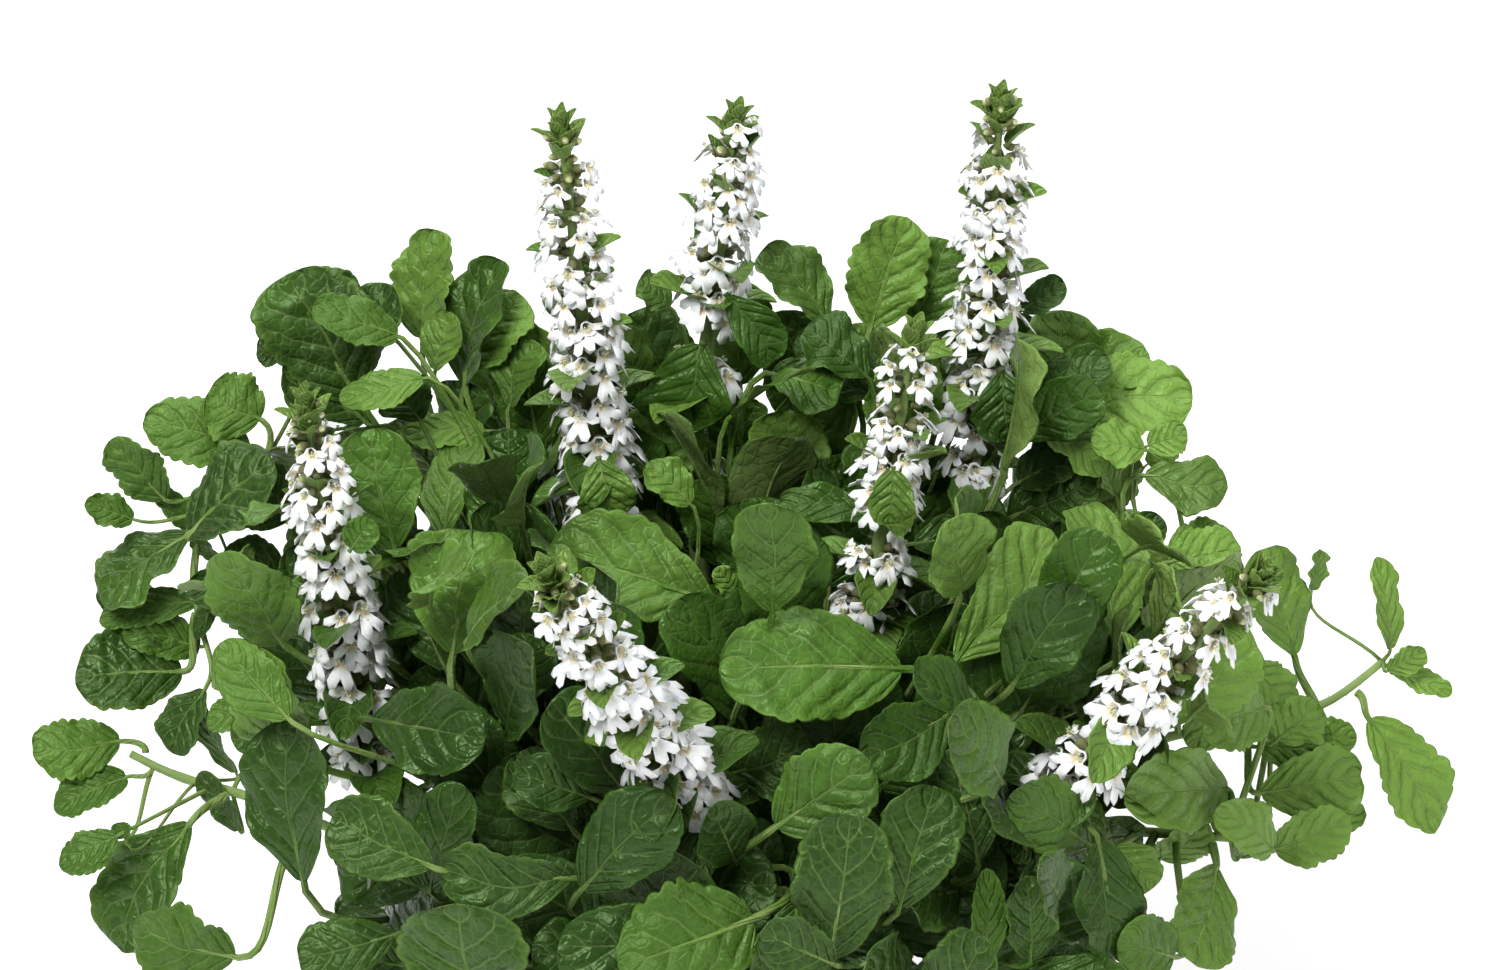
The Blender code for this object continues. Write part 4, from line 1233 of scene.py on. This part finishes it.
def stem_surfaces(centres, radii, seed, hairs=260):
    """A square stem with rounded corners, swollen at its joints, and its fine hairs."""
    t = np.linspace(0, 1, 40)
    length = np.concatenate([[0], np.cumsum(np.linalg.norm(np.diff(centres, axis=0), axis=1))])
    path = np.stack([np.interp(t * length[-1], length, centres[:, i]) for i in range(3)], -1)
    for _ in range(2):
        path[1:-1] = (path[:-2] + 2 * path[1:-1] + path[2:]) / 4
    radius = np.interp(t * length[-1], length, radii)
    radius = radius * (1 + 0.12 * bump((t * length[-1]) % 42.0 - 21.0, 3.0))
    stem = tube_along(path, radius, 12, square=0.9, marks={"warm": 0.0, "pale": 0.1})
    rng = np.random.default_rng(seed)
    at = rng.integers(2, len(path) - 2, hairs)
    tangent = unit(path[at + 1] - path[at - 1])
    out = unit(np.cross(tangent, rng.normal(size=(hairs, 3))))
    way = unit(out + tangent * rng.normal(0, 0.3, (hairs, 1)))
    hair = small_body(((0, 0), (0.1, 0.07), (1.3, 0.03), (1.5, 0)), 3)
    frames = np.stack([way, unit(np.cross(way, tangent)), np.cross(way, unit(np.cross(way, tangent)))], 1)
    origins = path[at] + tangent * rng.uniform(-1.5, 1.5, (hairs, 1)) + out * radius[at][:, None] * 0.9
    fuzz = body_copies(hair, origins, frames, rng.uniform(0.6, 1.2, hairs), {"warm": 0.0, "pale": 1.0})
    return [stem, fuzz]


# ---------------------------------------------------------------- settings and operators

class PotSettings(bpy.types.PropertyGroup):
    """Sizes of the clay pot's finish."""

    wobble: bpy.props.FloatProperty(
        name="Wobble", description="How far the clay wall strays from a true circle, in mm",
        default=0.18, min=0.0, max=1.0)
    crumbs: bpy.props.IntProperty(
        name="Crumbs", description="Number of loose crumbs on the potting mix", default=260, min=0)


class LeafSettings(bpy.types.PropertyGroup):
    """How full and how green the mound is."""

    fullness: bpy.props.FloatProperty(
        name="Fullness", description="How densely leaves fill the mound", default=1.0, min=0.0)
    deep: bpy.props.FloatVectorProperty(
        name="Deep green", description="Darkest green of the leaves", subtype="COLOR", size=3,
        default=(0.014, 0.038, 0.005), min=0.0, max=1.0)
    main: bpy.props.FloatVectorProperty(
        name="Leaf green", description="Main green of the leaves", subtype="COLOR", size=3,
        default=(0.060, 0.148, 0.014), min=0.0, max=1.0)
    light: bpy.props.FloatVectorProperty(
        name="Light green", description="Green of young and outer leaves", subtype="COLOR", size=3,
        default=(0.16, 0.285, 0.045), min=0.0, max=1.0)
    rib: bpy.props.FloatVectorProperty(
        name="Vein green", description="Pale green of veins and stalks", subtype="COLOR", size=3,
        default=(0.22, 0.31, 0.09), min=0.0, max=1.0)


class StageSettings(bpy.types.PropertyGroup):
    """Camera and light."""

    elevation: bpy.props.FloatProperty(
        name="Camera elevation", description="How steeply the camera looks down", subtype="ANGLE",
        unit="ROTATION", default=math.radians(28))
    distance: bpy.props.FloatProperty(
        name="Camera distance", description="Distance from the plant", subtype="DISTANCE",
        unit="LENGTH", default=1.5)
    key: bpy.props.FloatProperty(
        name="Key light", description="Power of the main soft light in watts", default=46.0)


# The pot: its rim band's height in mm, and its drain holes in metres.
BAND_HEIGHT = 24.0
HOLE_COUNT = 4
HOLE_RADIUS = 0.004
HOLE_RING = 0.02


class BUGLE_OT_pot(bpy.types.Operator):
    """Turn the clay pot with its banded rim"""

    bl_idname = "bugleweed.clay_pot"
    bl_label = "Clay pot"

    def execute(self, context):
        settings = context.scene.bugle_pot
        points, _ = weld("pot")
        radius = np.hypot(points[:, 0], points[:, 1])
        floor = points[(radius < 30) & (points[:, 2] > 1)][:, 2].max()
        band = RIM - BAND_HEIGHT
        base = radius[points[:, 2] < 0.2].max()
        shoulder = radius[(points[:, 2] < band - 0.2) & (points[:, 2] > band - 1.5)].max()
        lip = MOUTH_RADIUS + 0.3
        outline = np.array((
            (base, 0.0), (base + 0.9, 0.5), (base + 1.4, 1.8), (shoulder - 0.4, band - 3),
            (shoulder, band - 0.5),
            (RIM_RADIUS - 2.6, band + 0.2), (RIM_RADIUS - 1.7, band + 1.3), (RIM_RADIUS - 0.5, RIM - 4.0),
            (RIM_RADIUS - 0.1, RIM - 1.6), (RIM_RADIUS - 0.7, RIM - 0.4), (RIM_RADIUS - 2.2, RIM),
            (lip + 2.0, RIM), (lip + 0.6, RIM - 0.5), (lip, RIM - 1.8), (lip, band), (base - 1.6, floor + 6),
            (base - 6.0, floor + 0.4), (base - 12.0, floor)))
        steps = np.concatenate([[0], np.cumsum(np.linalg.norm(np.diff(outline, axis=0), axis=1))])
        fine = np.unique(np.concatenate([steps, np.linspace(0, steps[-1], 90)]))
        profile = np.stack([np.interp(fine, steps, outline[:, i]) for i in range(2)], -1)
        angle = np.linspace(0, 2 * math.pi, 144, endpoint=False)
        rings = np.stack([profile[:, :1] * np.cos(angle), profile[:, :1] * np.sin(angle),
                          np.broadcast_to(profile[:, 1:], (len(profile), 144))], -1)
        stray = ripple(rings * np.array((1, 1, 0.5)), 46.0, 5) + 0.35 * ripple(rings, 9.0, 6)
        out = np.stack([np.cos(angle), np.sin(angle), np.zeros(144)], -1)
        calm = np.clip(rings[..., 2:] / 6.0, 0, 1)
        rings = rings + out[None] * (stray[..., None] * settings.wobble * calm)
        pot = closed_tube(rings, (0, 0, 0), (0, 0, floor))
        piece = make_piece("clay_pot", [pot], clay_material(), "terracotta", "pot")
        self.drill(piece)
        return {"FINISHED"}

    def drill(self, piece):
        """Cut the four drain holes through the pot's floor."""
        for i in range(HOLE_COUNT):
            turn = 2 * math.pi * (i + 0.5) / HOLE_COUNT
            place = (HOLE_RING * math.cos(turn), HOLE_RING * math.sin(turn), 0.0)
            bpy.ops.mesh.primitive_cylinder_add(vertices=32, radius=HOLE_RADIUS, depth=0.04, location=place)
            cutter = bpy.context.active_object
            cut = piece.modifiers.new(f"drain_{i + 1}", "BOOLEAN")
            cut.operation = "DIFFERENCE"
            cut.solver = "EXACT"
            cut.object = cutter
            bpy.context.view_layer.objects.active = piece
            bpy.ops.object.modifier_apply(modifier=cut.name)
            bpy.data.objects.remove(cutter)
        MOUND.add(*pot_wall())


def pot_wall():
    """The pot's outside as a coarse sheet, for leaves to keep clear of."""
    z = np.array((0.0, RIM - BAND_HEIGHT, RIM - BAND_HEIGHT, RIM))
    r = np.array((41.0, 54.0, RIM_RADIUS + 1.5, RIM_RADIUS + 1.5))
    angle = np.linspace(0, 2 * math.pi, 25)
    x, y = r[:, None] * np.cos(angle), r[:, None] * np.sin(angle)
    points = np.stack([x, y, np.broadcast_to(z[:, None], (4, 25))], -1)
    return points.reshape(-1, 3), grid_quads(4, 25)


class BUGLE_OT_soil(bpy.types.Operator):
    """Fill the pot with crumbly potting mix"""

    bl_idname = "bugleweed.potting_mix"
    bl_label = "Potting mix"

    def execute(self, context):
        low, high = (np.array(c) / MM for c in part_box("potting_mix"))
        edge = high[0]
        rows = np.linspace(0.03, 1.0, 46)
        angle = np.linspace(0, 2 * math.pi, 120, endpoint=False)
        r = rows[:, None] * edge
        x, y = r * np.cos(angle), r * np.sin(angle)
        dome = high[2] - 4.0 * rows[:, None] ** 2 + 0 * x
        flat = np.stack([x, y, 0 * x], -1)
        lumps = 0.7 * ripple(flat, 14.0, 11) + 0.5 * ripple(flat, 5.0, 12) + 0.3 * ripple(flat, 2.4, 13)
        top = np.stack([x, y, dome + (lumps - 1.2) * np.clip((1 - rows[:, None]) * 14, 0, 1)], -1)
        wall = []
        for share, z in ((1.0, low[2] + 60.0), (0.84, low[2] + 4.0), (0.78, low[2])):
            r = share * edge
            wall.append(np.stack([r * np.cos(angle), r * np.sin(angle), np.full(120, z)], -1))
        rings = np.concatenate([top, np.array(wall)])
        body = closed_tube(rings, (0, 0, high[2] - 1.2), (0, 0, low[2]), marks={"grit": 0.0})
        rng = np.random.default_rng(21)
        count = context.scene.bugle_pot.crumbs
        spot = rng.uniform(0, 2 * math.pi, count)
        reach = np.sqrt(rng.uniform(0, 0.92, count)) * edge
        crumb = small_body(((-1, 0), (-0.6, 0.8), (0.2, 1.0), (0.8, 0.6), (1.0, 0)), 6)
        lying = high[2] - 4.0 * (reach / edge) ** 2 - 0.4
        places = np.stack([reach * np.cos(spot), reach * np.sin(spot), lying], -1)
        frames = np.linalg.qr(rng.normal(size=(count, 3, 3)))[0]
        frames = frames * np.sign(np.linalg.det(frames))[:, None, None]
        grit = (rng.random(count) > 0.82).astype(float)[:, None]
        crumbs = body_copies(crumb, places, frames, rng.uniform(0.5, 1.7, count), {"grit": grit})
        make_piece("potting_mix_bed", [body, crumbs], soil_material(), "potting_mix", "potting_mix")
        return {"FINISHED"}


class BUGLE_OT_stems(bpy.types.Operator):
    """Grow the seven square flower stems, from the soil to the top of each head"""

    bl_idname = "bugleweed.flower_stems"
    bl_label = "Flower stems"

    def execute(self, context):
        material = green_material("hairy_stem", (0.09, 0.16, 0.03), (0.19, 0.29, 0.06), (0.16, 0.10, 0.04))
        for number in HEADS:
            route = read_tube(f"flower_stem_{number}")
            head = read_head(number)
            top = head.foot + head.axis * (head.length - 4.0)
            bottom = route[0] - UP * 3.0
            centres = np.concatenate([[bottom], route, [head.foot + head.axis * head.length * 0.5], [top]])
            radii = np.concatenate([[2.9], np.linspace(2.8, 2.1, len(route)), [1.6], [0.8]])
            surfaces = stem_surfaces(centres, radii, number)
            make_piece(f"hairy_stem_{number}", surfaces, material, "stem_green", f"flower_stem_{number}")
            MOUND.add(surfaces[0].points, surfaces[0].quads)
            ring = tube_along(np.array([head.foot + head.axis * h for h in np.linspace(2, head.length, 8)]),
                              np.linspace(12.5, 7, 8), 8)
            MOUND.add(ring.points, ring.quads)
            side = unit(np.cross(head.axis, FRONT_AND_UP))
            for aside in (-10.0, -5.0, 0.0, 5.0, 10.0):
                line = head.foot + head.axis * np.linspace(0, head.length, 9)[:, None] + side * aside
                keep_clear(line, 110.0)
        return {"FINISHED"}


class BUGLE_OT_runners(bpy.types.Operator):
    """Lay the creeping runners over the rim, with their joints"""

    bl_idname = "bugleweed.runners"
    bl_label = "Runners"

    def execute(self, context):
        material = green_material("runner_skin", (0.13, 0.22, 0.04), (0.26, 0.38, 0.09), (0.2, 0.14, 0.05))
        for number in range(1, 6):
            route = read_tube(f"runner_{number}")
            route = np.concatenate([[route[0] - UP * 3.0], route])
            radii = np.linspace(1.6, 1.05, len(route))
            surfaces = stem_surfaces(route, radii, 60 + number, hairs=200)
            make_piece(f"creeping_runner_{number}", surfaces, material, "stem_green", f"runner_{number}")
            MOUND.add(surfaces[0].points, surfaces[0].quads)
        return {"FINISHED"}


def leaf_finishes(settings):
    """The three leaf materials, by look."""
    deep, main, light, rib = (tuple(getattr(settings, k)) for k in ("deep", "main", "light", "rib"))
    dim = tuple(0.62 * c for c in main)
    soft = tuple(0.5 * (a + b) for a, b in zip(main, light))
    return {
        "dark": leaf_material("leaf_deep_green", deep, dim, main, tuple(0.7 * c for c in rib), 0.31),
        "mid": leaf_material("leaf_mid_green", deep, main, light, rib, 0.33),
        "pale": leaf_material("leaf_soft_green", dim, soft, light, rib, 0.39),
    }


class BUGLE_OT_leaves(bpy.types.Operator):
    """Grow a fine leaf on each leaf solid of the frame"""

    bl_idname = "bugleweed.outer_leaves"
    bl_label = "Outer leaves"

    def execute(self, context):
        finishes = leaf_finishes(context.scene.bugle_leaf)
        slots = {part["node"]: part["material_slot"] for part in frame["record"]["subparts"]}
        names = sorted(n for n in frame["nodes"] if n.startswith("leaf_"))
        for i, name in enumerate(names):
            look = slots[name].removeprefix("leaf_")
            leaf = read_leaf(name, look, 500 + i)
            make_piece(f"fine_{name}", leaf_surfaces(leaf, 60, 19), finishes[look], slots[name], name)
            MOUND.add(*coarse_blade(leaf))
            keep_clear(bezier(leaf.spine, np.linspace(0.15, 0.95, 5)), 60.0)
        return {"FINISHED"}


class BUGLE_OT_filling(bpy.types.Operator):
    """Fill the mound with the smaller leaves between the outer ones"""

    bl_idname = "bugleweed.filling_leaves"
    bl_label = "Filling leaves"

    def execute(self, context):
        finishes = {m.name: m for m in bpy.data.materials}
        finish = {"dark": finishes["leaf_deep_green"], "mid": finishes["leaf_mid_green"],
                  "pale": finishes["leaf_soft_green"], "young": finishes["leaf_soft_green"]}
        routes = [read_tube(f"runner_{n}") for n in range(1, 6)]
        leaves = placed_more_leaves(routes)
        leaves += filling_leaves(context.scene.bugle_leaf.fullness)
        groups = {}
        for leaf in leaves:
            look = "pale" if leaf.look == "young" else leaf.look
            side = "left" if leaf.spine[0][0] < 0 else "right"
            depth = "front" if leaf.spine[0][1] < 0 else "back"
            groups.setdefault((look, depth, side), []).append(leaf)
        for (look, depth, side), members in sorted(groups.items()):
            for start in range(0, len(members), LEAVES_IN_PIECE):
                part = members[start:start + LEAVES_IN_PIECE]
                surfaces = [s for leaf in part for s in leaf_surfaces(leaf, 36, 13)]
                number = start // LEAVES_IN_PIECE + 1
                make_piece(f"{look}_leaves_{depth}_{side}_{number}", surfaces, finish[look], f"leaf_{look}")
        return {"FINISHED"}


PETAL_THICKNESS = 0.00022


class BUGLE_OT_flowers(bpy.types.Operator):
    """Set the white flowers in their whorls on each spike"""

    bl_idname = "bugleweed.flowers"
    bl_label = "Flowers"

    def execute(self, context):
        material = petal_material()
        for number in HEADS:
            node = f"flower_head_{number}"
            flowers, others = flower_surfaces(read_head(number))
            petals = make_piece(f"petals_{number}", [flowers], material, "flower_white", node)
            skin = petals.modifiers.new("petal_thickness", "SOLIDIFY")
            skin.thickness = PETAL_THICKNESS
            skin.offset = -1.0
            make_piece(f"stamens_and_buds_{number}", others, material, "flower_white", node)
        return {"FINISHED"}


class BUGLE_OT_bracts(bpy.types.Operator):
    """Set calyces, bracts and the leafy tuft on each spike"""

    bl_idname = "bugleweed.bracts"
    bl_label = "Bracts and calyces"

    def execute(self, context):
        leaf_green = bpy.data.materials["leaf_mid_green"]
        material = green_material("calyx_green", (0.035, 0.085, 0.012), (0.10, 0.19, 0.03),
                                  (0.15, 0.10, 0.03))
        for number in HEADS:
            cups, bracts = spike_green(read_head(number))
            make_piece(f"calyces_{number}", [cups], material, "stem_green", f"flower_head_{number}")
            make_piece(f"bracts_{number}", bracts, leaf_green, "leaf_mid", f"flower_head_{number}")
        return {"FINISHED"}


class BUGLE_OT_stage(bpy.types.Operator):
    """Set the pale floor, the soft lights and the camera"""

    bl_idname = "bugleweed.stage"
    bl_label = "Stage"

    def execute(self, context):
        settings = context.scene.bugle_stage
        self.floor()
        self.light("key", (-0.7, -1.0, 1.9), (0.9, 0.9), settings.key)
        self.light("fill", (1.5, -1.1, 0.9), (1.4, 1.4), settings.key * 0.22)
        self.light("sky", (0.2, 0.5, 2.3), (1.8, 1.8), settings.key * 0.7)
        self.light("back", (-0.6, 2.0, 1.5), (1.4, 1.4), settings.key * 0.5)
        world = bpy.data.worlds.new("studio")
        world.use_nodes = True
        world.node_tree.nodes["Background"].inputs["Color"].default_value = (0.95, 0.97, 1.0, 1.0)
        world.node_tree.nodes["Background"].inputs["Strength"].default_value = 0.2
        context.scene.world = world
        context.scene.view_settings.view_transform = "Standard"
        aim = Vector((0.0077, 0.0, 0.2298))
        down = settings.elevation
        ahead = Vector((0.0, math.cos(down), -math.sin(down)))
        data = bpy.data.cameras.new("camera")
        data.lens = 133.6
        data.sensor_width = 36.0
        data.clip_end = 20.0
        camera = bpy.data.objects.new("camera", data)
        camera.location = aim - ahead * settings.distance
        camera.rotation_euler = (math.pi / 2 - down, 0.0, 0.0)
        context.scene.collection.objects.link(camera)
        context.scene.camera = camera
        return {"FINISHED"}

    def floor(self):
        """A wide floor that sweeps up into a backdrop far behind."""
        run = np.linspace(0, 1, 60)
        y = np.where(run < 0.7, -4.0 + run / 0.7 * 7.0, 3.0 + 2.0 * np.sin((run - 0.7) / 0.3 * math.pi / 2))
        z = np.where(run < 0.7, 0.0, 2.0 * (1 - np.cos((run - 0.7) / 0.3 * math.pi / 2)))
        x = np.linspace(-5, 5, 11)
        points = np.stack([np.broadcast_to(x[None], (60, 11)), np.broadcast_to(y[:, None], (60, 11)),
                           np.broadcast_to(z[:, None], (60, 11))], -1).reshape(-1, 3)
        mesh = bpy.data.meshes.new("floor")
        mesh.from_pydata(points.tolist(), [], grid_quads(60, 11)[:, ::-1].tolist())
        mesh.shade_smooth()
        g = Graph("pale_floor", 0.9, 0.2)
        g.shader.inputs["Emission Color"].default_value = (1.0, 1.0, 1.0, 1.0)
        g.shader.inputs["Emission Strength"].default_value = 0.12
        mesh.materials.append(g.finish((0.88, 0.88, 0.88, 1.0)))
        ob = bpy.data.objects.new("floor", mesh)
        bpy.context.scene.collection.objects.link(ob)

    def light(self, name, place, size, power):
        """A soft square light that looks at the plant."""
        data = bpy.data.lights.new(name, "AREA")
        data.shape = "RECTANGLE"
        data.size, data.size_y = size
        data.energy = power
        ob = bpy.data.objects.new(name, data)
        ob.location = place
        ob.rotation_euler = (Vector((0, 0, 0.18)) - Vector(place)).to_track_quat("-Z", "Y").to_euler()
        bpy.context.scene.collection.objects.link(ob)


OPERATORS = (BUGLE_OT_pot, BUGLE_OT_soil, BUGLE_OT_stems, BUGLE_OT_runners, BUGLE_OT_leaves, BUGLE_OT_filling,
             BUGLE_OT_flowers, BUGLE_OT_bracts, BUGLE_OT_stage)


class BUGLE_PT_panel(bpy.types.Panel):
    """The pieces of the potted bugleweed"""

    bl_idname = "BUGLE_PT_panel"
    bl_label = "Potted bugleweed"
    bl_space_type = "VIEW_3D"
    bl_region_type = "UI"
    bl_category = "Bugleweed"

    def draw(self, context):
        for group in (context.scene.bugle_pot, context.scene.bugle_leaf, context.scene.bugle_stage):
            for key in group.__annotations__:
                self.layout.prop(group, key)
        for operator in OPERATORS:
            self.layout.operator(operator.bl_idname)


CLASSES = (PotSettings, LeafSettings, StageSettings, *OPERATORS, BUGLE_PT_panel)


def register():
    """Make the settings, operators and panel known."""
    for cls in CLASSES:
        bpy.utils.register_class(cls)
    bpy.types.Scene.bugle_pot = bpy.props.PointerProperty(type=PotSettings)
    bpy.types.Scene.bugle_leaf = bpy.props.PointerProperty(type=LeafSettings)
    bpy.types.Scene.bugle_stage = bpy.props.PointerProperty(type=StageSettings)


def unregister():
    """Take the settings, operators and panel away."""
    for key in ("bugle_pot", "bugle_leaf", "bugle_stage"):
        delattr(bpy.types.Scene, key)
    for cls in reversed(CLASSES):
        bpy.utils.unregister_class(cls)


def main():
    """Build every piece in order."""
    register()
    for operator in OPERATORS:
        group, name = operator.bl_idname.split(".")
        getattr(getattr(bpy.ops, group), name)()
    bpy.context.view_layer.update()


if __name__ == "__main__":
    main()
